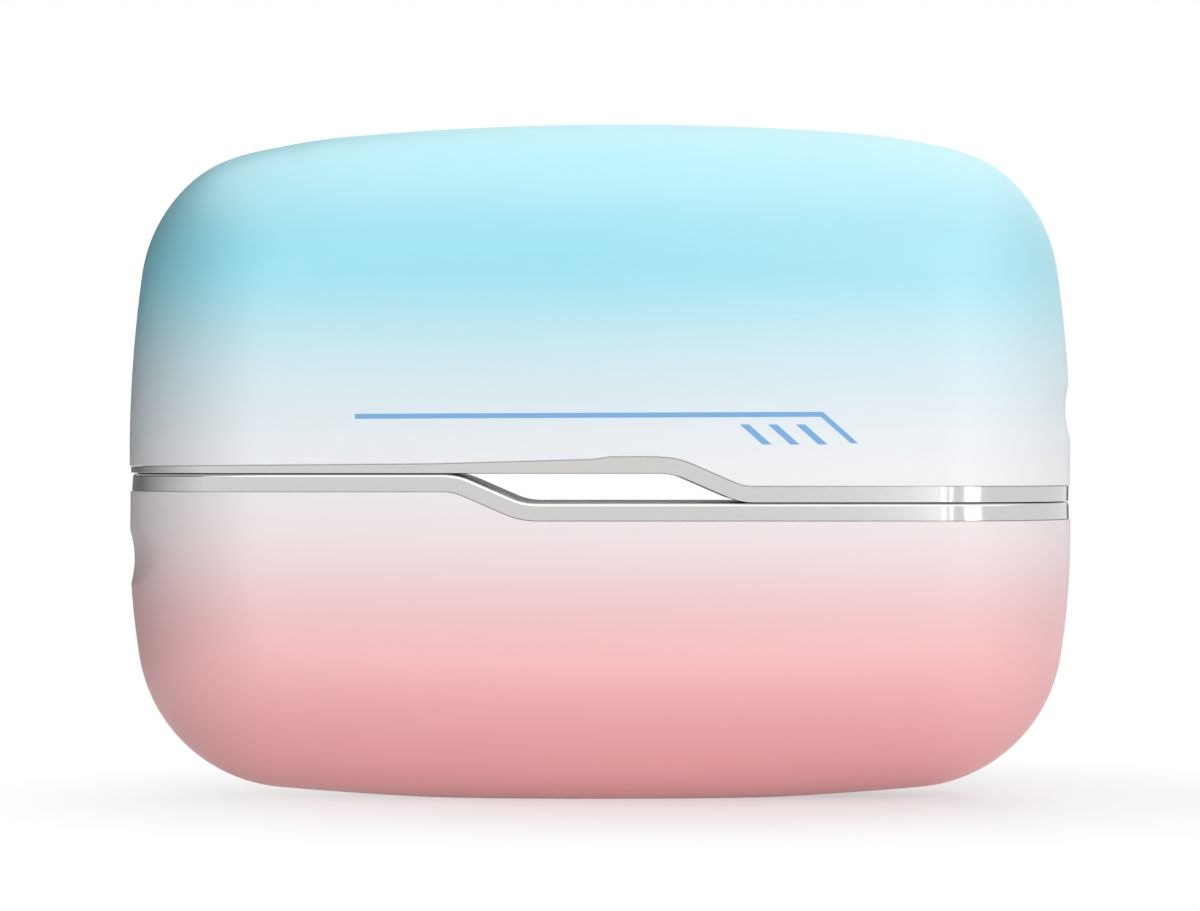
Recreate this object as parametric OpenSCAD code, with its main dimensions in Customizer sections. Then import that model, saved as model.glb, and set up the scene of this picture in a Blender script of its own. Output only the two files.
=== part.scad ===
// Split pocket hand warmer: two magnetic halves that meet on a stepped parting line.
// Front face looks along -Y, +Z is up, the origin is the middle of the flat foot. Millimetres.

/* [Body] */
// Overall width of both halves, along X
body_w = 100; // [96:0.5:110]
// Overall thickness, along Y, which is also the diameter of the full-round rim
body_t = 30; // [28.5:0.1:31]
// Thickness of the metal shell
wall = 1.2; // [0.9:0.1:1.4]
// Width of the flat foot that the lower half stands on, along Y
foot_w = 8; // [4:0.2:9]

/* [Upper half] */
// Height of the upper half above the middle of the parting
upper_h = 38.7; // [37:0.1:44]
// Radius of its bowed sides
upper_side_r = 140; // [110:5:250]
// Radius of its corners
upper_corner_r = 16.3; // [15.8:0.1:18]
// Radius of its crown
upper_crown_r = 325; // [250:5:600]
// Height of its widest line above the parting
upper_widest = 3.4; // [0:0.1:6]
// How far the crown's highest point lies right of the middle
crown_shift = 2.4; // [0:0.1:4]
// Height of its button above the parting
upper_button_v = 8.5; // [7.4:0.1:8.7]

/* [Lower half] */
// Height of the lower half below the middle of the parting
lower_h = 32.7; // [32:0.1:40]
// Radius of its bowed sides
lower_side_r = 84; // [70:1:200]
// Radius of its corners
lower_corner_r = 16.6; // [15.8:0.1:18]
// Radius of its base line
lower_base_r = 385; // [300:5:2000]
// Depth of its widest line below the parting
lower_widest = 4.6; // [0:0.1:7]
// Depth of its button below the parting
lower_button_v = 7.4; // [7.4:0.1:8.7]

/* [Parting] */
// Drop of the parting line from the high left to the low right
step_h = 3; // [2.4:0.1:3.4]
// Slope of the drop, in degrees
slope_angle = 23.5; // [20:0.5:30]
// Distance of each half's slope from the middle, which sets the length of the see-through slot
slope_at = 11.3; // [9:0.1:12.5]
// Radius of the bends at both ends of a slope
bend_r = 6.7; // [5.5:0.1:7.5]
// Gap between the two trim rings
ring_gap = 0.3; // [0.2:0.05:0.5]
// Gap between the two mating plates
plate_gap = 0.2; // [0.1:0.05:0.25]

/* [Trim ring] */
// Height of the visible metal band
ring_h = 1.65; // [1.2:0.05:2]
// Height of the upper band at its thin left end
ring_thin_h = 0.8; // [0.6:0.05:1.2]
// How far the band sits inside the shell's surface
ring_inset = 0.15; // [0.1:0.05:0.3]
// Thickness of the band
ring_t = 2.25; // [2:0.05:2.6]
// Width of the inner ledge that the mating plate's rim rests on
ledge_w = 1; // [0.8:0.1:1.2]
// Height of the spigot that locates the ring in the shell
spigot_h = 1.8; // [1.2:0.1:2]

/* [Mating plate] */
// Thickness of the plate
plate_t = 1.6; // [1.4:0.1:1.9]
// Thickness of its thin rim
rim_t = 0.85; // [0.7:0.05:1]
// Diameter of a magnet
magnet_d = 8; // [6:0.5:8.5]
// Thickness of a magnet
magnet_t = 2; // [1.5:0.1:2.2]
// Depth of a magnet's pocket in the plate
pocket_h = 0.9; // [0.6:0.1:1]
// Distance of the magnets from the middle, along X
magnet_x = 27; // [24:0.5:29]
// Distance of the magnets from the middle, along Y
magnet_y = 6.5; // [5.5:0.1:6.8]
// Distance of the screws from the middle, along X
screw_x = 38.5; // [36:0.5:39.5]
// Distance of the screws from the middle, along Y
screw_y = 7.6; // [7.2:0.1:8]
// Thread diameter of a screw
screw_d = 1.7; // [1.4:0.1:2]
// Head diameter of a screw
screw_head_d = 3.1; // [2.6:0.1:3.4]
// Length of a screw with its head
screw_len = 4.5; // [3.5:0.5:4.5]
// Outer diameter of a screw boss
boss_d = 4.2; // [3.6:0.1:4.6]

/* [Button] */
// Diameter of the cap that shows
button_d = 5; // [4.2:0.1:5.4]
// Diameter of the flange behind the shell
flange_d = 6.8; // [6.4:0.1:7]
// Thickness of the flange
flange_t = 0.7; // [0.5:0.1:0.9]
// Travel of the button
travel = 0.4; // [0.2:0.05:0.4]
// Height of the thumb scoop around the button
scoop_h = 6.3; // [5.8:0.1:7]
// Depth of the thumb scoop
scoop_depth = 0.53; // [0.4:0.01:0.6]

/* [Charging port] */
// Height of the port above the middle of the parting
port_v = 17.3; // [17:0.1:17.6]
// Outer width of the socket, along Z
port_w = 8.94; // [8.8:0.02:9]
// Outer height of the socket, along Y
port_t = 3.26; // [3.1:0.02:3.3]
// Length of the socket
port_len = 7.35; // [6.8:0.05:7.6]
// Sheet thickness of the socket
port_sheet = 0.3; // [0.2:0.05:0.35]
// Depth of the socket's mouth below the shell at the mouth's far edge
port_recess = 0.3; // [0.2:0.1:0.6]
// Thickness of the socket's tongue
tongue_t = 0.7; // [0.6:0.05:0.8]

/* [Battery] */
// Diameter of the cell
cell_d = 21.2; // [18.3:0.1:21.4]
// Length of the cell
cell_len = 70.2; // [64.8:0.1:70.6]
// Distance from the middle to the cell's far end, along X
cell_far = 41.7; // [41.5:0.1:42.2]
// Thickness of the nickel tabs
tab_t = 0.2; // [0.1:0.05:0.3]

/* [Cradle] */
// Thickness of the cradle's deck
deck_t = 1.2; // [1:0.1:1.4]
// Thickness of the cradle's ribs
rib_t = 1.2; // [1:0.1:1.6]
// Height of the cradle's end walls above the deck
end_wall_h = 14; // [10:0.5:15]

/* [Electronics] */
// Thickness of the control board
board_t = 1; // [0.8:0.1:1.2]
// Distance from the middle to the board's inner edge, along X
board_x = 31; // [30.8:0.1:31.5]
// Height of the board's lower edge
board_v = 3; // [2.6:0.1:3.4]
// Height of the board's upper edge
board_top = 24; // [23.5:0.1:24.2]
// Side of the square switch body, across its stem
switch_w = 6; // [5:0.1:6]
// Depth of the switch body along its stem, and its height on the board
switch_t = 3.5; // [3:0.1:3.6]

/* [Heater] */
// Thickness of a heater film
film_t = 0.25; // [0.15:0.05:0.3]
// Distance from the middle to the film's ends, along X
film_x = 27; // [22:0.5:28]
// Half of the slot between the two films at the crown
film_slot = 2; // [1:0.5:4]
// Diameter of the insulated wires
wire_d = 1.1; // [0.8:0.1:1.2]

/* [Hidden] */
$fn = 96;

half_w = body_w / 2;
half_t = body_t / 2;
// Play between pieces that locate each other
fit = 0.1;
// How far cutting shapes reach past what they cut
over = 1;
// The foot is a flat cut across the round rim
foot_cut = sagitta(half_t, foot_w);

// A half's outline: height, side, corner and crown radius, widest line, crown shift, button height
UPPER = [upper_h, upper_side_r, upper_corner_r, upper_crown_r, upper_widest, crown_shift, upper_button_v];
LOWER = [lower_h + foot_cut, lower_side_r, lower_corner_r, lower_base_r, lower_widest, 0, lower_button_v];

function tall(f) = f[0];
function side_r(f) = f[1];
function corner_r(f) = f[2];
function crown_r(f) = f[3];
function widest(f) = f[4];
function shift(f) = f[5];
function button_v(f) = f[6];

function sagitta(r, chord) = r - sqrt(r * r - chord * chord / 4);
function ray(c, r, a) = c + r * [cos(a), sin(a)];
function heading(p, q) = atan2(q.y - p.y, q.x - p.x);
function reversed(list) = [for (i = [len(list) - 1:-1:0]) list[i]];
function tail(list) = [for (i = [1:len(list) - 1]) list[i]];
function flat_list(lists) = [for (l = lists) each l];

// Where a circle about p crosses one about q, on the side that s names
function crossing(p, rp, q, rq, s) =
    let (d = norm(q - p), e = (q - p) / d, a = (rp * rp - rq * rq + d * d) / (2 * d))
    p + a * e + s * sqrt(rp * rp - a * a) * [-e.y, e.x];

// Centres of the outline's arcs, with s = 1 on the right and -1 on the left
function side_c(f, s) = [s * (half_w - side_r(f)), widest(f)];
function crown_c(f) = [shift(f), tall(f) - crown_r(f)];
function corner_c(f, s) =
    crossing(side_c(f, s), side_r(f) - corner_r(f), crown_c(f), crown_r(f) - corner_r(f), s);

// Stations along the outline, each an arc's centre, its radius and an angle
side_steps = 4;
corner_steps = 12;
crown_steps = 10;
nose_steps = 14;
// Height of the seam where the flat faces change from strips to one fan
seam_v = step_h / 2 + ring_gap + ring_h + over;
function arc(c, r, from, to, steps) = [for (k = [0:steps]) [c, r, from + (to - from) * k / steps]];
function stations(f) =
    let (low = asin((seam_v - widest(f)) / (side_r(f) - half_t)))
    let (right = heading(side_c(f, 1), corner_c(f, 1)), left = heading(side_c(f, -1), corner_c(f, -1)))
    let (start = heading(crown_c(f), corner_c(f, 1)), end = heading(crown_c(f), corner_c(f, -1)))
    concat(
        arc(side_c(f, 1), side_r(f), low, right, side_steps),
        tail(arc(corner_c(f, 1), corner_r(f), right, start, corner_steps)),
        tail(arc(crown_c(f), crown_r(f), start, end, crown_steps)),
        tail(arc(corner_c(f, -1), corner_r(f), end, left, corner_steps)),
        tail(arc(side_c(f, -1), side_r(f), left, 180 - low, side_steps)));

// The full-round nose runs from the front face at -90 degrees to the back face at 90 degrees
nose = [for (k = [0:nose_steps]) -90 + 180 * k / nose_steps];
function rim_point(station, turn, i) =
    let (n = ray(station[0], station[1] - half_t, station[2]), out = (half_t - i) * cos(turn))
    [n.x + out * cos(station[2]), (half_t - i) * sin(turn), n.y + out * sin(station[2])];
// A point of the nose at one end of the body, at height v
function end_point(f, s, v, turn, i) =
    let (r = side_r(f) - half_t + (half_t - i) * cos(turn))
    [s * (half_w - side_r(f) + sqrt(r * r - (v - widest(f)) ^ 2)), (half_t - i) * sin(turn), v];

// The parting curve in a half's own frame: high on the left, low on the right, moved up by lift
slope_len = (step_h - 2 * bend_r * (1 - cos(slope_angle))) / sin(slope_angle);
slope_run = 2 * bend_r * sin(slope_angle) + slope_len * cos(slope_angle);
high_bend = [slope_at - slope_run / 2, step_h / 2 - bend_r];
low_bend = [slope_at + slope_run / 2, bend_r - step_h / 2];
bend_steps = 8;
function bend(c, r, from, to) = [for (k = [0:bend_steps]) ray(c, r, from + (to - from) * k / bend_steps)];
function parting(lift) = concat(
    bend(high_bend, bend_r + lift, 90, 90 - slope_angle),
    bend(low_bend, bend_r - lift, 270 - slope_angle, 270));
// Height of the left stretch, which tilts where its outer end has another lift
function left_v(u, lift, end_lift) =
    step_h / 2 + lift + (end_lift - lift) * (high_bend.x - u) / (high_bend.x + half_w);

// A closed loop round the body at inset i that follows the parting curve
function left_end(f, turn, i, lift, end_lift) =
    end_point(f, -1, left_v((half_t - i) * (1 - cos(turn)) - half_w + i, lift, end_lift), turn, i);
function loop(f, i, lift, end_lift) = concat(
    [for (turn = nose) end_point(f, 1, lift - step_h / 2, turn, i)],
    [for (p = reversed(parting(lift))) [p.x, half_t - i, p.y]],
    [for (turn = reversed(nose)) left_end(f, turn, i, lift, end_lift)],
    [for (p = parting(lift)) [p.x, i - half_t, p.y]]);
edge_points = 2 * (bend_steps + 1);
loop_len = 2 * (nose_steps + 1) + 2 * edge_points;

function quad(a, b, c, d) = [[a, b, c], [a, c, d]];
// Faces between two rows of points that close round, from the row starting at a to the row at b
function belt(a, b, n) =
    [for (k = [0:n - 1]) let (m = (k + 1) % n) each quad(a + k, b + k, b + m, a + m)];

// A ring that follows the parting curve, from the corners of its section
module ring_loft(f, section) {
    n = len(section);
    polyhedron(
        flat_list([for (s = section) loop(f, s[0], s[1], s[2])]),
        [for (k = [0:n - 1]) each belt(k * loop_len, (k + 1) % n * loop_len, loop_len)]);
}

// A cap across a loop whose points start at a
function cap(a) =
    let (right = [for (k = [0:nose_steps]) a + k])
    let (back = [for (k = [0:edge_points - 1]) a + nose_steps + 1 + k])
    let (left = [for (k = [0:nose_steps]) a + nose_steps + 1 + edge_points + k])
    let (front = [for (k = [1:edge_points]) a + loop_len - k])
    let (rear = concat([right[nose_steps]], back, [left[0]]))
    let (fore = concat([right[0]], front, [left[nose_steps]]))
    concat(
        [right, left],
        [for (k = [0:edge_points]) each quad(fore[k], rear[k], rear[k + 1], fore[k + 1])]);
function flipped(faces) = [for (f = faces) reversed(f)];

// A plate that follows the parting curve, stepped as its section says from bottom to top
module plate_loft(f, section) {
    n = len(section);
    polyhedron(
        flat_list([for (s = section) loop(f, s[0], s[1], s[1])]),
        concat(
            [for (k = [0:n - 2]) each belt(k * loop_len, (k + 1) * loop_len, loop_len)],
            cap(0),
            flipped(cap((n - 1) * loop_len))));
}

// One wall surface of a shell: the loop at its edge, the rim's rows, and the seam's points
function skin_points(f, i, lift, end_lift) = concat(
    loop(f, i, lift, end_lift),
    [for (s = stations(f)) for (turn = nose) rim_point(s, turn, i)],
    [for (p = reversed(parting(lift))) [p.x, i - half_t, seam_v]],
    [for (p = reversed(parting(lift))) [p.x, half_t - i, seam_v]]);
row_count = 2 * side_steps + 2 * corner_steps + crown_steps + 1;
skin_len = loop_len + row_count * (nose_steps + 1) + 2 * edge_points;
function rim_row(j) = [for (k = [0:nose_steps])
    j == 0 ? k
    : j > row_count ? 2 * nose_steps + 1 + edge_points - k
    : loop_len + (j - 1) * (nose_steps + 1) + k];
function face_faces(low, high, k) =
    let (rows = [for (j = [0:row_count + 1]) rim_row(j)[k]], half = floor(row_count / 2))
    let (foot = concat([rows[0]], low, [rows[row_count + 1]]))
    let (top = concat([rows[1]], high, [rows[row_count]]))
    let (fan = concat(
        [for (j = [half:row_count]) rows[j]],
        reversed(high),
        [for (j = [1:half - 1]) rows[j]]))
    concat(
        [for (j = [0:edge_points]) each quad(foot[j], foot[j + 1], top[j + 1], top[j])],
        [for (j = [1:len(fan) - 2]) [fan[0], fan[j + 1], fan[j]]]);
function skin_faces() =
    let (high = loop_len + row_count * (nose_steps + 1), back = nose_steps + 1, front = loop_len - 1)
    let (m = edge_points - 1, on_back = high + edge_points)
    concat(
        [for (j = [0:row_count], k = [0:nose_steps - 1])
            each quad(rim_row(j)[k], rim_row(j + 1)[k], rim_row(j + 1)[k + 1], rim_row(j)[k + 1])],
        face_faces([for (k = [0:m]) front - k], [for (k = [0:m]) high + k], 0),
        flipped(face_faces([for (k = [0:m]) back + k], [for (k = [0:m]) on_back + k], nose_steps)));
function moved(faces, by) = [for (f = faces) [for (v = f) v + by]];

module cup(f, lift, end_lift)
    polyhedron(
        concat(skin_points(f, 0, lift, end_lift), skin_points(f, wall, lift, end_lift)),
        concat(skin_faces(), flipped(moved(skin_faces(), skin_len)), flipped(belt(0, skin_len, loop_len))));

// Heights above the parting curve that the edge pieces share
ring_foot = ring_gap / 2;
ring_top = ring_foot + ring_h;
spigot_top = ring_top + spigot_h;
ring_in = ring_inset + ring_t;
plate_foot = plate_gap / 2;
plate_top = plate_foot + plate_t;
ledge_v = plate_foot + rim_t + fit;
// Hairline between the ring and the shell
seam = 0.05;
// Edge break of the ring
ring_break = 0.3;

// Level of the parting where it runs flat, left and right of the slopes
function level(x) = x < slope_at ? step_h / 2 : -step_h / 2;
signs = [-1, 1];

// Places along the button end, from the outside in
pad_x = half_w - 2;
pad_d = flange_d + 2 * over;
button_gap = 0.12;
flange_x = pad_x - fit;
hub_len = 0.8;
tip_x = flange_x - flange_t - hub_len;
stem_slack = 0.25;
switch_x = tip_x - travel - stem_slack;
stem_d = 2.4;
hub_d = stem_d + over;
stem_in = 0.9;
port_gap = 0.15;
scoop_r = (scoop_h * scoop_h / 4 + scoop_depth * scoop_depth) / (2 * scoop_depth);

// The socket's mouth follows the outline of each half
function port_edge(f) = port_v + port_w / 2 - corner_c(f, 1).y;
function port_x(f) = corner_c(f, 1).x + sqrt(corner_r(f) ^ 2 - port_edge(f) ^ 2) - port_recess;
function port_back(f) = port_x(f) - port_len;

// A bar along X with a full-round section, long side upright
module port_bar(w, t, from, to)
    translate([from, 0, 0]) rotate([90, 0, 90]) linear_extrude(to - from) {
        square([t, w - t], center = true);
        for (s = signs) translate([0, s * (w - t) / 2]) circle(d = t);
    }
module along_x(from, to, d) translate([from, 0, 0]) rotate([0, 90, 0]) cylinder(d = d, h = to - from);
module scoop(f)
    translate([half_w - scoop_depth + scoop_r, 0, button_v(f)])
        rotate([90, 0, 0]) cylinder(r = scoop_r, h = body_t, center = true);
// A box from its two corners
module box(a, b) translate(a) cube(b - a);

module shell(f, end_h, footed) {
    difference() {
        union() {
            cup(f, ring_top + seam, ring_foot + end_h + seam);
            translate([0, 0, button_v(f)]) along_x(pad_x, half_w - wall + fit, pad_d);
        }
        translate([0, 0, button_v(f)]) along_x(pad_x - over, half_w + over, button_d + 2 * button_gap);
        translate([0, 0, port_v])
            port_bar(port_w + 2 * port_gap, port_t + 2 * port_gap, port_back(f), half_w + over);
        scoop(f);
        if (footed) box([-half_w, -half_t, lower_h], [half_w, half_t, lower_h + over]);
    }
}

module trim_ring(f, end_h)
    ring_loft(f, [
        [ring_inset + ring_break, ring_foot, ring_foot],
        [ring_inset, ring_foot + ring_break, ring_foot + ring_break],
        [ring_inset, ring_top, ring_foot + end_h],
        [wall + fit, ring_top, ring_foot + end_h],
        [wall + fit, spigot_top, spigot_top],
        [ring_in + ledge_w, spigot_top, spigot_top],
        [ring_in + ledge_w, ledge_v, ledge_v],
        [ring_in, ledge_v, ledge_v],
        [ring_in, ring_foot, ring_foot]]);

module at_magnets() for (x = signs * magnet_x, y = signs * magnet_y) translate([x, y, level(x)]) children();
module at_screws() for (x = signs * screw_x, y = signs * screw_y) translate([x, y, level(x)]) children();
head_h = 0.8;
head_sink = 0.1;
module screw_shape(grow) {
    d = screw_d + 2 * grow;
    head = screw_head_d + 2 * grow;
    translate([0, 0, plate_foot - over]) cylinder(d = head, h = over + head_sink);
    translate([0, 0, plate_foot + head_sink]) cylinder(d1 = head, d2 = d, h = head_h);
    translate([0, 0, plate_foot + head_sink]) cylinder(d = d, h = screw_len);
}

module mating_plate(f) {
    difference() {
        plate_loft(f, [
            [ring_in + fit, plate_foot],
            [ring_in + fit, ledge_v - fit],
            [ring_in + ledge_w + fit, ledge_v - fit],
            [ring_in + ledge_w + fit, plate_top]]);
        at_magnets() translate([0, 0, plate_top - pocket_h]) cylinder(d = magnet_d + 2 * fit, h = plate_t);
        at_screws() screw_shape(fit);
    }
}
module magnets() at_magnets() translate([0, 0, plate_top - pocket_h]) cylinder(d = magnet_d, h = magnet_t);

drive_w = 0.4;
drive_len = 1.9;
module plate_screws()
    at_screws() difference() {
        union() {
            translate([0, 0, plate_foot + head_sink]) cylinder(d1 = screw_head_d, d2 = screw_d, h = head_h);
            translate([0, 0, plate_foot + head_sink]) cylinder(d = screw_d, h = screw_len);
        }
        for (turn = [0, 90]) translate([0, 0, plate_foot + head_sink])
            rotate(turn) cube([drive_len, drive_w, 2 * drive_w], center = true);
    }

// Places of the cradle, the cell and the board
deck_v = step_h / 2 + spigot_top + seam;
deck_top = deck_v + deck_t;
deck_inset = 2.2;
rib_in = 11.7;
rib_pitch = 24;
rib_x = [for (k = [0:2]) rib_in + k * rib_pitch - cell_far];
end_wall_y = 8;
cell_v = deck_top + cell_d / 2 + fit;
cell_near = cell_len - cell_far;
wall_gap = tab_t + fit;
board_y = port_t / 2;
board_room = 5.4;
board_right = half_w - board_room;
tab_out = 1.3;
tab_in = 0.2;
board_tab = [board_right + tab_out, port_v - port_w / 2 + tab_in, port_v + port_w / 2 - tab_in];
bay_front = 4.6;
bay_back = 5.6;
post_len = 1.2;
// The cradle's feet stand on the spigot's low stretch, inwards of where the body's ends turn round
foot_len = 8;
foot_in = 3;
foot_x = half_w - half_t - foot_in - foot_len;
foot_t = 1;

// A flat stadium inside the shell, between two heights
module stadium(i, from, to)
    translate([0, 0, from]) linear_extrude(to - from) {
        square([body_w - body_t, body_t - 2 * i], center = true);
        for (s = signs) translate([s * (half_w - half_t), 0]) circle(half_t - i);
    }

module cell_room(grow)
    translate([0, 0, cell_v]) along_x(-cell_far - over, cell_near + over, cell_d + 2 * grow);

// A screw boss that hangs from the deck down to p
module boss(p) translate(p) cylinder(d = boss_d, h = deck_top - p.z);

module cell_cradle() {
    rib_y = half_t - deck_inset;
    wall_v = deck_top + end_wall_h;
    slot_y = tab_w / 2 + 4 * fit;
    near_wall = cell_near + wall_gap;
    far_wall = -cell_far - wall_gap;
    difference() {
        union() {
            stadium(deck_inset, deck_v, deck_top);
            for (x = rib_x) box([x - rib_t / 2, -rib_y, deck_v], [x + rib_t / 2, rib_y, cell_v]);
            for (s = signs)
                box([foot_x, s > 0 ? rib_y - foot_t : -rib_y, level(foot_x) + spigot_top + seam],
                    [foot_x + foot_len, s > 0 ? rib_y : foot_t - rib_y, deck_top]);
            for (x = signs * screw_x, y = signs * screw_y) boss([x, y, level(x) + plate_top + fit]);
        }
        cell_room(2 * fit);
        box([board_x - 2 * fit, -bay_front, -step_h], [half_w, bay_back, deck_top + over]);
        box([far_wall - rib_t - over, -slot_y, deck_v - over], [over - cell_far, slot_y, deck_top + over]);
        at_screws() cylinder(d = screw_d + 2 * seam, h = half_t);
    }
    for (s = signs)
        box([far_wall - rib_t, s > 0 ? slot_y : -end_wall_y, deck_v],
            [far_wall, s > 0 ? end_wall_y : -slot_y, wall_v]);
    difference() {
        union() {
            box([near_wall, -end_wall_y, deck_v], [near_wall + rib_t, end_wall_y, wall_v]);
            box([near_wall, board_y - post_len, deck_v],
                [board_x + over, board_y + board_t + post_len, wall_v]);
        }
        box([board_x - fit, board_y - fit, deck_v - over],
            [board_x + 2 * over, board_y + board_t + fit, wall_v + over]);
    }
}

// The cell's can, with its rolled groove and its raised cap at the near end
cell_button = 0.4;
cell_edge = 0.5;
groove_depth = 0.8;
groove = [2, 2.6, 3.4, 4];
module battery_cell() {
    r = cell_d / 2;
    can = cell_len - cell_button;
    translate([-cell_far, 0, cell_v]) rotate([0, 90, 0]) rotate_extrude() polygon([
        [0, 0],
        [r - cell_edge, 0],
        [r, cell_edge],
        [r, can - groove[3]],
        [r - groove_depth, can - groove[2]],
        [r - groove_depth, can - groove[1]],
        [r, can - groove[0]],
        [r, can - cell_edge],
        [r - cell_edge, can],
        [r / 2, can],
        [r / 2, cell_len],
        [0, cell_len]]);
}
insulator_t = 0.2;
module cell_insulator()
    translate([cell_near - cell_button, 0, cell_v]) rotate([0, 90, 0]) difference() {
        cylinder(d = cell_d - 3 * cell_edge, h = insulator_t);
        translate([0, 0, -over]) cylinder(d = cell_d / 2 + 2 * fit, h = 3 * over);
    }
// The nickel tabs, welded to the middle of each end: the far one hangs down, the near one stands up
tab_w = 6;
tab_reach = 8;
module cell_tabs() {
    box([-cell_far - tab_t, -tab_w / 2, cell_v - tab_reach], [-cell_far, tab_w / 2, cell_v + tab_w / 2]);
    box([cell_near, -tab_w / 2, cell_v - tab_w / 2], [cell_near + tab_t, tab_w / 2, cell_v + tab_reach]);
}

pad_len = 18;
pad_h = 5;
pad_drop = 1.5;
module foam_pads()
    for (x = [(rib_x[0] + rib_x[1]) / 2, (rib_x[1] + rib_x[2]) / 2], s = signs)
        translate([x, s * (cell_d / 2 + film_face) / 2, cell_v - pad_drop])
            cube([pad_len, film_face - cell_d / 2 - 2 * fit, pad_h], center = true);

// Depth of a heater film's inner face from the middle, and the inset of its outer face
film_in = wall + fit + seam;
film_face = half_t - film_in - film_t;
film_foot = deck_top + 5 * fit;
film_rows = 6;
film_turns = 7;
function film_grid(f, i) =
    let (c = crown_c(f), r = crown_r(f) - half_t)
    let (a = acos((film_x - c.x) / r), b = acos((-film_x - c.x) / r), last = -asin(film_slot / (half_t - i)))
    [for (k = [0:film_rows]) let (st = [c, crown_r(f), a + (b - a) * k / film_rows], n = ray(c, r, st[2]))
        concat([[n.x, i - half_t, film_foot]],
            [for (m = [0:film_turns]) rim_point(st, -90 + (last + 90) * m / film_turns, i)])];
module front_heater(f) {
    n = film_turns + 2;
    m = film_rows + 1;
    edge = concat(
        [for (k = [0:n - 1]) k],
        [for (j = [1:m - 1]) j * n + n - 1],
        [for (k = [n - 2:-1:0]) (m - 1) * n + k],
        [for (j = [m - 2:-1:1]) j * n]);
    face = [for (j = [0:m - 2], k = [0:n - 2])
        each quad(j * n + k, (j + 1) * n + k, (j + 1) * n + k + 1, j * n + k + 1)];
    rim = [for (k = [0:len(edge) - 1]) let (a = edge[k], b = edge[(k + 1) % len(edge)])
        each quad(a, b, b + m * n, a + m * n)];
    polyhedron(
        concat(flat_list(film_grid(f, film_in)), flat_list(film_grid(f, film_in + film_t))),
        concat(face, flipped(moved(face, m * n)), rim));
}
module back_heater(f) mirror([0, 1, 0]) front_heater(f);

bead_d = 1.8;
bead_len = 2;
bead_in = 4;
bead_drop = 3;
bead = [film_x - bead_in, bead_d / 2 + fit - film_face, cell_v - bead_drop];
module thermistor() translate(bead) {
    cylinder(d = bead_d, h = bead_len);
    translate([0, 0, bead_len]) sphere(d = bead_d);
}

// A wire's points with a round elbow at each inner one
elbow_r = 2;
elbow_steps = 2;
// The most of a straight stretch that an elbow takes
elbow_share = 0.45;
function unit(p) = p / norm(p);
function elbow(a, b, c) =
    let (r = min(elbow_r, elbow_share * norm(a - b), elbow_share * norm(c - b)))
    let (p = b + r * unit(a - b), q = b + r * unit(c - b))
    [for (k = [0:elbow_steps]) let (t = k / elbow_steps) (1 - t) ^ 2 * p + 2 * t * (1 - t) * b + t ^ 2 * q];
function rounded(p) =
    let (last = len(p) - 1)
    concat([p[0]], [for (k = [1:last - 1]) each elbow(p[k - 1], p[k], p[k + 1])], [p[last]]);
wire_sides = 8;
function wire_ring(p, along, across, d) =
    let (a = unit(cross(across, along)), b = unit(cross(along, a)))
    [for (k = [0:wire_sides - 1]) let (turn = 360 * k / wire_sides)
        p + d / 2 * (cos(turn) * a + sin(turn) * b)];

// An insulated wire along its points; across is a direction that it never runs in
module wire(points, d, across) {
    path = rounded(points);
    last = len(path) - 1;
    polyhedron(
        [for (k = [0:last])
            each wire_ring(path[k], path[min(k + 1, last)] - path[max(k - 1, 0)], across, d)],
        concat(
            [for (k = [0:last - 1]) each belt(k * wire_sides, (k + 1) * wire_sides, wire_sides)],
            [[for (k = [0:wire_sides - 1]) k]],
            [[for (k = [1:wire_sides]) (last + 1) * wire_sides - k]]));
}

UP = [0, 0, 1];
BACK = [0, 1, 0];
lead_r = wire_d / 2;
front_lay = board_y - lead_r - seam;
back_lay = board_y + board_t + lead_r + seam;
under_deck = deck_v - lead_r - fit;
far_tab = -cell_far - tab_t - lead_r - seam;
near_tab = cell_near + tab_t + fit;
solder_in = 1.5;
solder_v = cell_v + tab_reach - solder_in;
// Where the leads meet the board, right of its inner edge
joint_in = 3.5;
joint_x = board_x + joint_in;
module red_lead()
    wire([
        [near_tab, -1, solder_v],
        [near_tab + 2, -1, solder_v - 0.4],
        [board_x + 2, front_lay, board_top - 1.8],
        [joint_x, front_lay, board_top - 1.8]], wire_d, UP);
module black_lead()
    wire([
        [far_tab, 0, cell_v - tab_reach + solder_in + 2],
        [far_tab, 0, under_deck],
        [board_x - 7, 0, under_deck],
        [board_x - 1, back_lay, under_deck],
        [board_x + 2, back_lay, under_deck],
        [joint_x, back_lay, under_deck + 1.5]], wire_d, [0.3, 1, 0.1]);
lead_rows = [deck_top + 2.2, deck_top + 4];
lay_out = film_face - lead_r - fit;
module heater_leads()
    for (v = lead_rows, s = signs)
        wire([
            [film_x - 6, s * lay_out, v],
            [film_x + 1, s * (lay_out - 0.3), v],
            [joint_x - 1, s * end_wall_y, v],
            [joint_x, s < 0 ? front_lay : back_lay, v + 0.6]], wire_d, UP);
sensor_d = 0.5;
sensor_v = bead.z + 4.8;
bead_top = bead.z + bead_len + bead_d / 2;
module sensor_leads()
    for (v = signs * 0.4)
        wire([
            [bead.x - v, bead.y, bead_top],
            [bead.x - v, bead.y, sensor_v + v],
            [near_tab + rib_t + 0.8, bead.y + 1.2, sensor_v + v],
            [joint_x, board_y - sensor_d / 2 - seam, sensor_v + v]], sensor_d, BACK);

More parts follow.
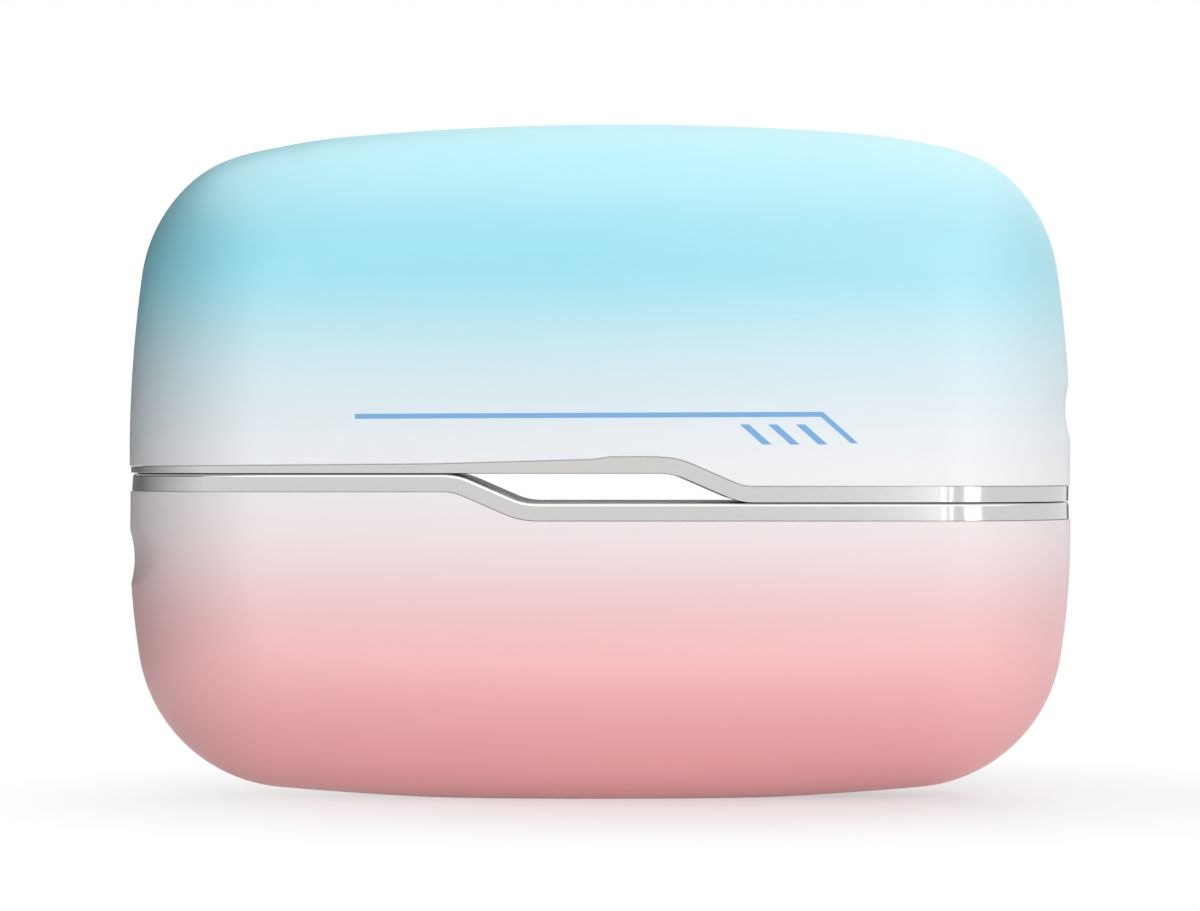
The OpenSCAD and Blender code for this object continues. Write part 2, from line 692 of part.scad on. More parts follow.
// The board stands upright along X, with a tab at its right edge that carries the socket
module control_board()
    translate([0, board_y + board_t, 0]) rotate([90, 0, 0]) linear_extrude(board_t) polygon([
        [board_x, board_v],
        [board_right, board_v],
        [board_right, board_tab[1]],
        [board_tab[0], board_tab[1]],
        [board_tab[0], board_tab[2]],
        [board_right, board_tab[2]],
        [board_right, board_top - 2],
        [board_right - 2, board_top],
        [board_x, board_top]]);

// Each part on the board is its middle from the board's lower inner corner, its size and its height
chip_in = joint_in + 2.9;
front_chips = [
    [chip_in, 14.5, 4, 4, 0.9],
    [chip_in + 0.6, 6.5, 4.4, 6.5, 1],
    [chip_in - 1.4, 10.8, 1.6, 0.8, 0.8],
    [chip_in + 1.2, 10.8, 1.6, 0.8, 0.8]];
back_chips = [
    [chip_in + 1.8, 12.6, 5.2, 5.2, 2.8],
    [chip_in + 2.2, 5.4, 4, 5, 1.5],
    [chip_in + 2.2, 17.6, 3.2, 1.6, 1.6]];
module chip(c, y)
    translate([board_x + c[0] - c[2] / 2, y, board_v + c[1] - c[3] / 2]) cube([c[2], c[4], c[3]]);
module board_parts() {
    for (c = front_chips) chip(c, board_y - c[4]);
    for (c = back_chips) chip(c, board_y + board_t);
}

module usb_port(f) translate([0, 0, port_v]) difference() {
    port_bar(port_w, port_t, port_back(f), port_x(f));
    port_bar(port_w - 2 * port_sheet, port_t - 2 * port_sheet, port_back(f) - over, port_x(f) + over);
}
tongue_base = 1.6;
tongue_w = 6.7;
tongue_end = 0.6;
module usb_tongue(f) translate([0, 0, port_v]) {
    inset = port_sheet + seam;
    port_bar(port_w - 2 * inset, port_t - 2 * inset, port_back(f), port_back(f) + tongue_base);
    box([port_back(f), -tongue_t / 2, -tongue_w / 2], [port_x(f) - tongue_end, tongue_t / 2, tongue_w / 2]);
}

module switch_body(f) translate([0, 0, button_v(f)]) difference() {
    box([switch_x - switch_t, board_y - switch_t, -switch_w / 2], [switch_x, board_y, switch_w / 2]);
    along_x(switch_x - stem_in - travel - fit, switch_x + over, stem_d + 2 * fit);
}
module switch_stem(f) translate([0, 0, button_v(f)]) along_x(switch_x - stem_in, tip_x, stem_d);
module power_button(f) difference() {
    translate([0, 0, button_v(f)]) {
        along_x(tip_x, flange_x, hub_d);
        along_x(flange_x - flange_t, flange_x, flange_d);
        along_x(flange_x - flange_t, half_w + over, button_d);
    }
    scoop(f);
}
led = [1.6, 0.6, 0.8];
module status_led(f)
    translate([board_right - led.x, board_y - led.y, button_v(f) + switch_w / 2 + 2 * fit]) cube(led);

module place_upper() translate([0, 0, lower_h]) children();
module place_lower() translate([0, 0, lower_h]) rotate([0, 180, 0]) children();

module upper_shell() color([0.62, 0.88, 0.95]) place_upper() shell(UPPER, ring_thin_h, false);
module upper_trim_ring() color("silver") place_upper() trim_ring(UPPER, ring_thin_h);
module upper_mating_plate() color([0.96, 0.96, 0.96]) place_upper() mating_plate(UPPER);
module upper_magnets() color([0.72, 0.73, 0.75]) place_upper() magnets();
module upper_plate_screws() color([0.35, 0.35, 0.37]) place_upper() plate_screws();
module upper_cell_cradle() color([0.85, 0.86, 0.87]) place_upper() cell_cradle();
module upper_battery_cell() color([0.2, 0.42, 0.68]) place_upper() battery_cell();
module upper_cell_insulator() color([0.92, 0.9, 0.82]) place_upper() cell_insulator();
module upper_cell_tabs() color([0.78, 0.77, 0.72]) place_upper() cell_tabs();
module upper_foam_pads() color([0.25, 0.25, 0.27]) place_upper() foam_pads();
module upper_front_heater() color([0.8, 0.5, 0.16]) place_upper() front_heater(UPPER);
module upper_back_heater() color([0.8, 0.5, 0.16]) place_upper() back_heater(UPPER);
module upper_thermistor() color([0.1, 0.1, 0.1]) place_upper() thermistor();
module upper_red_lead() color([0.75, 0.1, 0.1]) place_upper() red_lead();
module upper_black_lead() color([0.08, 0.08, 0.08]) place_upper() black_lead();
module upper_heater_leads() color([0.9, 0.9, 0.88]) place_upper() heater_leads();
module upper_sensor_leads() color([0.15, 0.15, 0.16]) place_upper() sensor_leads();
module upper_control_board() color([0.06, 0.35, 0.2]) place_upper() control_board();
module upper_board_parts() color([0.13, 0.13, 0.14]) place_upper() board_parts();
module upper_usb_port() color([0.75, 0.76, 0.78]) place_upper() usb_port(UPPER);
module upper_usb_tongue() color([0.12, 0.12, 0.13]) place_upper() usb_tongue(UPPER);
module upper_switch_body() color([0.2, 0.2, 0.21]) place_upper() switch_body(UPPER);
module upper_switch_stem() color([0.85, 0.3, 0.2]) place_upper() switch_stem(UPPER);
module upper_power_button() color([0.93, 0.94, 0.95]) place_upper() power_button(UPPER);
module upper_status_led() color([1, 0.98, 0.85]) place_upper() status_led(UPPER);

module lower_shell() color([0.95, 0.72, 0.74]) place_lower() shell(LOWER, ring_h, true);
module lower_trim_ring() color("silver") place_lower() trim_ring(LOWER, ring_h);
module lower_mating_plate() color([0.96, 0.96, 0.96]) place_lower() mating_plate(LOWER);
module lower_magnets() color([0.72, 0.73, 0.75]) place_lower() magnets();
module lower_plate_screws() color([0.35, 0.35, 0.37]) place_lower() plate_screws();
module lower_cell_cradle() color([0.85, 0.86, 0.87]) place_lower() cell_cradle();
module lower_battery_cell() color([0.2, 0.42, 0.68]) place_lower() battery_cell();
module lower_cell_insulator() color([0.92, 0.9, 0.82]) place_lower() cell_insulator();
module lower_cell_tabs() color([0.78, 0.77, 0.72]) place_lower() cell_tabs();
module lower_foam_pads() color([0.25, 0.25, 0.27]) place_lower() foam_pads();
module lower_front_heater() color([0.8, 0.5, 0.16]) place_lower() front_heater(LOWER);
module lower_back_heater() color([0.8, 0.5, 0.16]) place_lower() back_heater(LOWER);
module lower_thermistor() color([0.1, 0.1, 0.1]) place_lower() thermistor();
module lower_red_lead() color([0.75, 0.1, 0.1]) place_lower() red_lead();
module lower_black_lead() color([0.08, 0.08, 0.08]) place_lower() black_lead();
module lower_heater_leads() color([0.9, 0.9, 0.88]) place_lower() heater_leads();
module lower_sensor_leads() color([0.15, 0.15, 0.16]) place_lower() sensor_leads();
module lower_control_board() color([0.06, 0.35, 0.2]) place_lower() control_board();
module lower_board_parts() color([0.13, 0.13, 0.14]) place_lower() board_parts();
module lower_usb_port() color([0.75, 0.76, 0.78]) place_lower() usb_port(LOWER);
module lower_usb_tongue() color([0.12, 0.12, 0.13]) place_lower() usb_tongue(LOWER);
module lower_switch_body() color([0.2, 0.2, 0.21]) place_lower() switch_body(LOWER);
module lower_switch_stem() color([0.85, 0.3, 0.2]) place_lower() switch_stem(LOWER);
module lower_power_button() color([0.93, 0.94, 0.95]) place_lower() power_button(LOWER);
module lower_status_led() color([1, 0.98, 0.85]) place_lower() status_led(LOWER);

upper_shell();
upper_trim_ring();
upper_mating_plate();
upper_magnets();
upper_plate_screws();
upper_cell_cradle();
upper_battery_cell();
upper_cell_insulator();
upper_cell_tabs();
upper_foam_pads();
upper_front_heater();
upper_back_heater();
upper_thermistor();
upper_red_lead();
upper_black_lead();
upper_heater_leads();
upper_sensor_leads();
upper_control_board();
upper_board_parts();
upper_usb_port();
upper_usb_tongue();
upper_switch_body();
upper_switch_stem();
upper_power_button();
upper_status_led();
lower_shell();
lower_trim_ring();
lower_mating_plate();
lower_magnets();
lower_plate_screws();
lower_cell_cradle();
lower_battery_cell();
lower_cell_insulator();
lower_cell_tabs();
lower_foam_pads();
lower_front_heater();
lower_back_heater();
lower_thermistor();
lower_red_lead();
lower_black_lead();
lower_heater_leads();
lower_sensor_leads();
lower_control_board();
lower_board_parts();
lower_usb_port();
lower_usb_tongue();
lower_switch_body();
lower_switch_stem();
lower_power_button();
lower_status_led();
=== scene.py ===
"""Looks of the split pocket hand warmer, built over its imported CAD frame.

The shells, trim rings, mating plates and power buttons are rebuilt here from the outline that the CAD
source uses, with fine rows, rounded edges and exact normals, and with the small differences from it
that are named below. All other CAD pieces keep their shape and get a material of their own.
"""

import math

import bmesh
import bpy
import numpy as np
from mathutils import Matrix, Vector

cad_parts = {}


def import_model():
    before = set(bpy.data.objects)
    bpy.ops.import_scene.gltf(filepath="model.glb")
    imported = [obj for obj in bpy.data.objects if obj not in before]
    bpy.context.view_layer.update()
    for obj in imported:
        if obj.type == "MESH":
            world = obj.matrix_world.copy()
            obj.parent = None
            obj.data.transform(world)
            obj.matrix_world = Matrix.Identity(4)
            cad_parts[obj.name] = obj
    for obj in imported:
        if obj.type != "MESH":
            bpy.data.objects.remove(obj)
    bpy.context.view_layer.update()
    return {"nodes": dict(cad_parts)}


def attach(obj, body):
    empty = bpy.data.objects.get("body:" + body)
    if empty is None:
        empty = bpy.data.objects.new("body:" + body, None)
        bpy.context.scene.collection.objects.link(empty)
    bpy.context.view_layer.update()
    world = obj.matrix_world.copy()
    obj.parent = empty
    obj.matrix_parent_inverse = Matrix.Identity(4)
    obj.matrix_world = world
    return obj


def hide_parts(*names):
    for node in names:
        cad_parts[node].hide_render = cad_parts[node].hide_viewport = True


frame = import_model()

# Sizes are in millimetres and the same as in the CAD source, and MM turns them into metres
MM = 0.001
BODY_W, BODY_T, WALL = 100.0, 30.0, 1.2
HALF_W, NOSE_R = BODY_W / 2, BODY_T / 2
FOOT_W = 8.0
LOWER_H = 32.7
STEP_H, SLOPE_ANGLE, SLOPE_AT, BEND_R = 3.0, math.radians(23.5), 11.3, 6.7
RING_FOOT, RING_H = 0.15, 1.65
RING_INSET, RING_T, LEDGE_W, SPIGOT_H = 0.15, 2.25, 1.0, 1.8
PLATE_FOOT, PLATE_T, RIM_T = 0.1, 1.6, 0.85
MAGNET_D, MAGNET_X, MAGNET_Y, POCKET_H = 8.0, 27.0, 6.5, 0.9
SCREW_D, SCREW_HEAD_D, SCREW_X, SCREW_Y, HEAD_H, HEAD_SINK = 1.7, 3.1, 38.5, 7.6, 0.8, 0.1
BUTTON_D, BUTTON_GAP, SCOOP_H, SCOOP_DEPTH = 5.0, 0.12, 6.3, 0.53
FLANGE_D, FLANGE_T, FLANGE_IN, HUB_D, HUB_LEN = 6.8, 0.7, 2.1, 3.4, 0.8
PORT_V, PORT_W, PORT_T, PORT_GAP, PORT_LEN = 17.3, 8.94, 3.26, 0.15, 7.35
FIT, SEAM, OVER = 0.1, 0.05, 1.0
RING_TOP = RING_FOOT + RING_H
RING_IN = RING_INSET + RING_T
SPIGOT_TOP = RING_TOP + SPIGOT_H
LEDGE_V = PLATE_FOOT + RIM_T + FIT
PLATE_TOP = PLATE_FOOT + PLATE_T
SCOOP_R = (SCOOP_H**2 / 4 + SCOOP_DEPTH**2) / (2 * SCOOP_DEPTH)

# From here down to the fineness, what only the visual model has. First, radii of rounded edges
LIP_R = 0.11
DISH_SOFT = 0.1
TOP_EDGE_R = 0.05
PLATE_EDGE_R = 0.2
BUTTON_EDGE_R = 0.12
# How far from the parting each half's trim band and plate start, and how much thinner its band is
EDGE_FOOT = {"upper": 0.13, "lower": -0.12}
BAND_THINNER = {"upper": 0.0, "lower": 0.1}
# The bands' lower edges, as inset and lift, so that the slot between them narrows inwards
BAND_EDGES = {
    "upper": [(0.0, 0.11), (0.02, 0.07), (0.06, 0.05), (0.7, 0.0)],
    "lower": [(0.0, 0.31), (0.13, 0.08), (0.17, 0.05), (0.7, 0.0)],
}
# How far the slope is moved along the half, and how the upper band gets slimmer to the left: place, drop
SLIDE = {"upper": -0.4, "lower": 0.0}
SLIMMER = [(-50.0, 0.95), (-17.0, 0.68), (-5.0, 0.35), (-0.6, 0.22), (1.0, -0.05), (6.0, -0.05)]
# The upper corners run softer into the crown than one arc does: how deep, how far from the middle, how
# wide, and between which heights above the parting that grows
CORNER_SOFT, CORNER_AT, CORNER_SPAN, CORNER_V = 0.42, 36.0, 7.0, (12, 32)
# The thumb dish follows the round nose, and fades out between these angles from its middle
DISH_FADE = math.radians(20), math.radians(52)

# Fineness of the rebuilt surfaces
ROUND_STEPS, SMALL_ROUND_STEPS, BUTTON_ROUND_STEPS = 6, 4, 5
BEND_STEPS = 20
SIDE_STEPS, CORNER_STEPS, CROWN_STEPS = 10, 36, 24
LATHE_STEPS, HOLE_STEPS, BAR_STEPS = 64, 96, 24
BUTTON_RINGS = 8
# Rows are finer up to this far above the dish's middle, and about this far apart
DISH_HALF = 4.2
DISH_STEP = 0.14
# Repeats that settle a point on a curved surface, and how near to a surface a point lies on it
SETTLE, ON_SURFACE = 8, 0.02
# A corner's normal takes the exact one if the cosine between its face and that is above this
SAME_WAY = 0.94
# Keeps lengths away from zero
TINY = 1e-12


def sagitta(radius, chord):
    return radius - math.sqrt(radius**2 - chord**2 / 4)


def polar(centre, radius, angle):
    return centre[0] + radius * np.cos(angle), centre[1] + radius * np.sin(angle)


def heading(p, q):
    return math.atan2(q[1] - p[1], q[0] - p[0])


def smoothstep(x, ends):
    """0 before the first end, 1 past the second, and a smooth rise between them."""
    share = np.clip((x - ends[0]) / (ends[1] - ends[0]), 0, 1)
    return share**2 * (3 - 2 * share)


def crossing(p, rp, q, rq, side):
    """Where a circle about p crosses one about q, on the given side."""
    dx, dy = q[0] - p[0], q[1] - p[1]
    d = math.hypot(dx, dy)
    a = (rp**2 - rq**2 + d**2) / (2 * d)
    h = side * math.sqrt(rp**2 - a**2)
    return p[0] + (a * dx - h * dy) / d, p[1] + (a * dy + h * dx) / d


class Half:
    """The outline of one half in its own frame: u to its button end, v away from the parting.

    widest is the height of its widest place, and shift moves the crown along u. slims is 1 if its band
    slims to the left and its upper corners run softer, else 0. sign turns it over.
    """

    def __init__(self, name, tall, side_r, corner_r, crown_r, widest, shift, button_v, slims, sign):
        self.name, self.slims, self.sign = name, slims, sign
        self.side_r, self.corner_r, self.crown_r = side_r, corner_r, crown_r
        self.widest, self.shift, self.button_v = widest, shift, button_v
        self.crown = (shift, tall - crown_r)
        self.sides = {s: (s * (HALF_W - side_r), widest) for s in (1, -1)}
        self.corners = {}
        for s, side in self.sides.items():
            self.corners[s] = crossing(side, side_r - corner_r, self.crown, crown_r - corner_r, s)

    def place(self, points):
        """Points of the half's frame, in metres in the CAD frame. The lower half is turned about Y."""
        p = np.asarray(points, float)
        return np.column_stack([self.sign * p[:, 0], p[:, 1], LOWER_H + self.sign * p[:, 2]]) * MM

    def take(self, points):
        """The reverse of place."""
        p = np.asarray(points, float) / MM
        return np.column_stack([self.sign * p[:, 0], p[:, 1], self.sign * (p[:, 2] - LOWER_H)])

    def turn(self, vectors):
        return vectors * np.array([self.sign, 1, self.sign])


UPPER = Half("upper", 38.7, 140.0, 16.3, 325.0, 3.4, 2.4, 8.5, 1, 1)
LOWER = Half("lower", LOWER_H + sagitta(NOSE_R, FOOT_W), 84.0, 16.6, 385.0, 4.6, 0.0, 7.4, 0, -1)
HALVES = (UPPER, LOWER)


def outwards(half, p):
    """Unit normal of the full-round body at points p, and how far each lies outside it."""
    u, y, v = p.T
    reach = np.full(len(p), -np.inf)
    side_u, side_v = np.zeros(len(p)), np.zeros(len(p))
    for s in (1, -1):
        here = (u >= half.shift) == (s == 1)
        side, corner, crown = half.sides[s], half.corners[s], half.crown
        steeper = []
        for centre in (side, crown):
            edge = math.atan2(corner[1] - centre[1], s * (corner[0] - centre[0]))
            steeper.append(np.arctan2(v - centre[1], s * (u - centre[0])) > edge)
        in_corner = here & steeper[0] & ~steeper[1]
        for centre, radius, mask in (
            (side, half.side_r, here & ~in_corner),
            (crown, half.crown_r, here & ~in_corner),
            (corner, half.corner_r, in_corner),
        ):
            du, dv = u - centre[0], v - centre[1]
            far = np.hypot(du, dv) + TINY
            e = far - (radius - NOSE_R)
            more = mask & (e > reach)
            reach = np.where(more, e, reach)
            side_u, side_v = np.where(more, du / far, side_u), np.where(more, dv / far, side_v)
    e = np.maximum(reach, 0)
    long = np.hypot(e, y) + TINY
    return np.column_stack([e * side_u, y, e * side_v]) / long[:, None], long - NOSE_R


def dished(half, p):
    """Distance outside the body with its thumb dish, whose edge is softly rounded."""
    body = outwards(half, p)[1]
    u, y, v = p.T
    depth = SCOOP_DEPTH * (1 - smoothstep(np.arctan2(np.abs(y), u - HALF_W + NOSE_R), DISH_FADE))
    mid_u = HALF_W - half.side_r + np.sqrt(half.side_r**2 - (v - half.widest) ** 2) + body
    dish = SCOOP_R - np.hypot(mid_u - (HALF_W - depth + SCOOP_R), v - half.button_v)
    blend = np.maximum(DISH_SOFT - np.abs(body - dish), 0) / DISH_SOFT
    return np.maximum(body, dish) + blend**2 * DISH_SOFT / 4


def slope(half, p, step=1e-3):
    """Gradient of the dished body, which is its normal."""
    shift = np.eye(3) * step
    g = np.column_stack([(dished(half, p + d) - dished(half, p - d)) / (2 * step) for d in shift])
    return g / np.linalg.norm(g, axis=1)[:, None]


def lowering(half, p):
    """How far the crown is lowered at points p by the softer corners, and how that changes along u."""
    u, v = p[:, 0], p[:, 2]
    x = (np.abs(u) - CORNER_AT) / CORNER_SPAN
    inside = np.clip(1 - x**2, 0, None)
    depth = half.slims * CORNER_SOFT * smoothstep(v, CORNER_V)
    return depth * inside**2, -4 * depth * x * inside * np.sign(u) / CORNER_SPAN


def raised(half, p):
    """The reverse of lowering: unit normals and depths of points p of the lowered skin."""
    q = p.copy()
    for _ in range(SETTLE):
        q[:, 2] = p[:, 2] + lowering(half, q)[0]
    normal, depth = outwards(half, q)
    normal[:, 0] += normal[:, 2] * lowering(half, q)[1]
    return normal / np.linalg.norm(normal, axis=1)[:, None], depth


def chosen(mask, first, second):
    """Normals and depths, from first where mask holds and else from second."""
    return np.where(mask[:, None], first[0], second[0]), np.where(mask, first[1], second[1])


def by_dish(half, p):
    """Which of points p lie round the thumb dish."""
    return (p[:, 0] > HALF_W - NOSE_R / 2) & (np.abs(p[:, 2] - half.button_v) < DISH_HALF)


def sink(half, p):
    """Moves points of the round nose into the thumb dish."""
    p = p.copy()
    near = by_dish(half, p)
    for _ in range(SETTLE):
        q = p[near]
        p[near] = q - slope(half, q) * dished(half, q)[:, None]
    return p


# The nose runs from the front face at -90 degrees to the back face at 90, finer where the dish lies
NOSE_BREAKS = (-90, -52, -18, 18, 52, 90)
NOSE_STEPS = (13, 29, 64, 29, 13)
NOSE_RUNS = [np.linspace(*run, endpoint=False) for run in zip(NOSE_BREAKS, NOSE_BREAKS[1:], NOSE_STEPS)]
NOSE = np.radians(np.concatenate(NOSE_RUNS + [NOSE_BREAKS[-1:]]))
COLUMNS = len(NOSE)
# The rows round the nose begin at this height
SEAM_V = STEP_H / 2 + 2 * RING_FOOT + RING_H + OVER


def arc(centre, radius, angles):
    return [(centre, radius, a) for a in angles]


def stations(half):
    """Places along the outline from low right over the crown to low left, each on an arc at an angle."""
    spine = half.side_r - NOSE_R
    low = math.asin((SEAM_V - half.widest) / spine)
    dish_top = math.asin((half.button_v + DISH_HALF - half.widest) / half.side_r)
    right, left = [heading(half.sides[s], half.corners[s]) % (2 * math.pi) for s in (1, -1)]
    start, end = [heading(half.crown, half.corners[s]) for s in (1, -1)]
    rows = int((half.button_v + DISH_HALF - SEAM_V) / DISH_STEP)
    return (
        arc(half.sides[1], half.side_r, np.linspace(low, dish_top, rows))
        + arc(half.sides[1], half.side_r, np.linspace(dish_top, right, SIDE_STEPS)[1:])
        + arc(half.corners[1], half.corner_r, np.linspace(right, start, CORNER_STEPS)[1:])
        + arc(half.crown, half.crown_r, np.linspace(start, end, CROWN_STEPS)[1:])
        + arc(half.corners[-1], half.corner_r, np.linspace(end, left, CORNER_STEPS)[1:])
        + arc(half.sides[-1], half.side_r, np.linspace(left, math.pi - low, SIDE_STEPS)[1:])
    )


def rim_row(station, inset):
    """The points round the nose at one station."""
    centre, radius, angle = station
    nu, nv = polar(centre, radius - NOSE_R, angle)
    out = (NOSE_R - inset) * np.cos(NOSE)
    return np.column_stack(
        [nu + out * math.cos(angle), (NOSE_R - inset) * np.sin(NOSE), nv + out * math.sin(angle)]
    )


def end_points(half, side, v, inset):
    """The points round one end of the body at heights v."""
    r = half.side_r - NOSE_R + (NOSE_R - inset) * np.cos(NOSE)
    u = side * (HALF_W - half.side_r + np.sqrt(r**2 - (v - half.widest) ** 2))
    return np.column_stack([u, (NOSE_R - inset) * np.sin(NOSE), v * np.ones(COLUMNS)])


SLOPE_LEN = (STEP_H - 2 * BEND_R * (1 - math.cos(SLOPE_ANGLE))) / math.sin(SLOPE_ANGLE)
SLOPE_RUN = 2 * BEND_R * math.sin(SLOPE_ANGLE) + SLOPE_LEN * math.cos(SLOPE_ANGLE)
HIGH_BEND = (SLOPE_AT - SLOPE_RUN / 2, STEP_H / 2 - BEND_R)
LOW_BEND = (SLOPE_AT + SLOPE_RUN / 2, BEND_R - STEP_H / 2)


def parting(half, lift, slimming):
    """The stepped parting curve of a half, moved up square to itself, less so to the left if slimming."""
    down = math.pi / 2 - np.linspace(0, SLOPE_ANGLE, BEND_STEPS)
    level = 1.5 * math.pi - np.linspace(SLOPE_ANGLE, 0, BEND_STEPS)
    first = np.column_stack(polar(HIGH_BEND, BEND_R + lift, down))
    second = np.column_stack(polar(LOW_BEND, BEND_R - lift, level))
    curve = np.concatenate([first, second]) + [SLIDE[half.name], 0]
    return np.concatenate([[(u, STEP_H / 2 + lift - slimming * drop) for u, drop in SLIMMER[1:]], curve])


EDGE = 2 * BEND_STEPS + len(SLIMMER) - 1
LOOP = 2 * COLUMNS + 2 * EDGE


def loop(half, inset, lift, slimming=0):
    """A closed loop round the body along the parting curve, with slimming 1 nearer to it on the left."""
    curve = parting(half, lift, slimming)
    u = (NOSE_R - inset) * (1 - np.cos(NOSE)) - HALF_W + inset
    left_v = STEP_H / 2 + lift - slimming * np.interp(u, *zip(*SLIMMER))

    def flat(line, y):
        return np.column_stack([line[:, 0], np.full(EDGE, y), line[:, 1]])

    return np.concatenate(
        [
            end_points(half, 1, lift - STEP_H / 2, inset),
            flat(curve[::-1], NOSE_R - inset),
            end_points(half, -1, left_v, inset)[::-1],
            flat(curve, inset - NOSE_R),
        ]
    )


def belt(a, b, n):
    """Faces between two closed rows of n points that start at a and b."""
    return [(a + k, b + k, b + (k + 1) % n, a + (k + 1) % n) for k in range(n)]


def skin_faces(start, rows):
    """Faces of one wall surface, whose loop starts at start and whose rim rows follow it."""

    def row(j):
        if j == 0:
            return [start + k for k in range(COLUMNS)]
        if j > rows:
            return [start + 2 * COLUMNS + EDGE - 1 - k for k in range(COLUMNS)]
        return [start + LOOP + (j - 1) * COLUMNS + k for k in range(COLUMNS)]

    grid = [row(j) for j in range(rows + 2)]
    faces = [
        (grid[j][k], grid[j + 1][k], grid[j + 1][k + 1], grid[j][k + 1])
        for j in range(rows + 1)
        for k in range(COLUMNS - 1)
    ]
    back = [start + COLUMNS + k for k in range(EDGE)]
    front = [start + 2 * COLUMNS + EDGE + k for k in range(EDGE)]
    faces.append(tuple([g[0] for g in grid] + front))
    faces.append(tuple([g[-1] for g in grid] + back[::-1]))
    return faces


def solid(name, half, points, faces):
    """A mesh object from points of a half's frame, with its faces turned outwards."""
    mesh = bpy.data.meshes.new(name)
    mesh.from_pydata([tuple(p) for p in half.place(points)], [], faces)
    b = bmesh.new()
    b.from_mesh(mesh)
    bmesh.ops.recalc_face_normals(b, faces=b.faces)
    b.to_mesh(mesh)
    b.free()
    obj = bpy.data.objects.new(name, mesh)
    bpy.context.scene.collection.objects.link(obj)
    return obj


def rounding(steps=ROUND_STEPS):
    """Pairs that go from (0, 1) to (1, 0) on a rounded edge: share inwards and share outwards."""
    return [(1 - math.cos(a), 1 - math.sin(a)) for a in np.linspace(0, math.pi / 2, steps)]


def shell_mesh(half):
    """A shell: its skin and its inner surface, joined by a rounded lip."""
    lift = RING_TOP - BAND_THINNER[half.name] + SEAM
    places = stations(half)
    outer = [loop(half, 0, lift + LIP_R, half.slims)] + [rim_row(s, 0) for s in places]
    outer = sink(half, np.concatenate(outer))
    outer[:, 2] -= lowering(half, outer)[0]
    inner = np.concatenate([loop(half, WALL, lift, half.slims)] + [rim_row(s, WALL) for s in places])
    lip = [loop(half, LIP_R * i, lift + LIP_R * o, half.slims) for i, o in rounding()[1:]]
    n = len(outer)
    faces = skin_faces(0, len(places)) + skin_faces(n, len(places))
    rows = [0] + [2 * n + k * LOOP for k in range(len(lip))] + [n]
    for a, b in zip(rows, rows[1:]):
        faces += belt(a, b, LOOP)
    return solid(f"{half.name}_shell_skin", half, np.concatenate([outer, inner] + lip), faces)


def section_mesh(name, half, section, closed):
    """A ring, or where not closed a plate, that follows the parting curve from its section's corners."""
    n = len(section)
    points = np.concatenate([loop(half, *corner) for corner in section])
    faces = []
    for k in range(n if closed else n - 1):
        faces += belt(k * LOOP, (k + 1) % n * LOOP, LOOP)
    if not closed:
        faces += plate_cap(0) + plate_cap((n - 1) * LOOP)
    return solid(name, half, points, faces)


def plate_cap(start):
    """The face of a plate inside one loop: two rounded ends and a strip across the step."""
    right = [start + k for k in range(COLUMNS)]
    back = [start + COLUMNS + k for k in range(EDGE)]
    left = [start + COLUMNS + EDGE + k for k in range(COLUMNS)]
    front = [start + 2 * COLUMNS + EDGE + k for k in range(EDGE)][::-1]
    rear, fore = [right[-1]] + back + [left[0]], [right[0]] + front + [left[-1]]
    strip = [(fore[k], rear[k], rear[k + 1], fore[k + 1]) for k in range(EDGE + 1)]
    return [tuple(right), tuple(left)] + strip


def ring_mesh(half):
    """A trim band with its spigot, and its ledge for the plate."""
    foot, top = EDGE_FOOT[half.name], RING_TOP - BAND_THINNER[half.name]
    section = [(RING_INSET + i, foot + o) for i, o in BAND_EDGES[half.name][::-1]]
    for i, o in rounding(SMALL_ROUND_STEPS):
        section.append((RING_INSET + TOP_EDGE_R * i, top - TOP_EDGE_R * o, half.slims))
    section += [
        (WALL + FIT, top, half.slims),
        (WALL + FIT, SPIGOT_TOP),
        (RING_IN + LEDGE_W, SPIGOT_TOP),
        (RING_IN + LEDGE_W, LEDGE_V),
        (RING_IN, LEDGE_V),
        (RING_IN, foot),
    ]
    return section_mesh(f"{half.name}_trim_band", half, section, True)


def plate_mesh(half):
    """A mating plate with a rounded and stepped rim."""
    foot = EDGE_FOOT[half.name]
    edge = [(RING_IN + FIT + PLATE_EDGE_R * i, foot + PLATE_EDGE_R * o) for i, o in rounding()[::-1]]
    edge += [
        (RING_IN + FIT, LEDGE_V - FIT),
        (RING_IN + LEDGE_W + FIT, LEDGE_V - FIT),
        (RING_IN + LEDGE_W + FIT, PLATE_TOP),
    ]
    return section_mesh(f"{half.name}_mating_face", half, edge, False)


def lathe(profile, centre, axis, steps=LATHE_STEPS):
    """A closed solid of revolution about X or Z, as points and faces. profile holds (radius, along)."""
    turns = np.linspace(0, 2 * math.pi, steps, endpoint=False)
    points = []
    for radius, along in profile:
        a, b = radius * np.cos(turns), radius * np.sin(turns)
        level = np.full(steps, float(along))
        points.append(np.column_stack([level, a, b] if axis == "x" else [a, b, level]) + centre)
    faces = []
    for k in range(len(profile) - 1):
        faces += belt(k * steps, (k + 1) * steps, steps)
    last = (len(profile) - 1) * steps
    faces += [tuple(range(steps)), tuple(range(last, last + steps))]
    return np.concatenate(points), faces


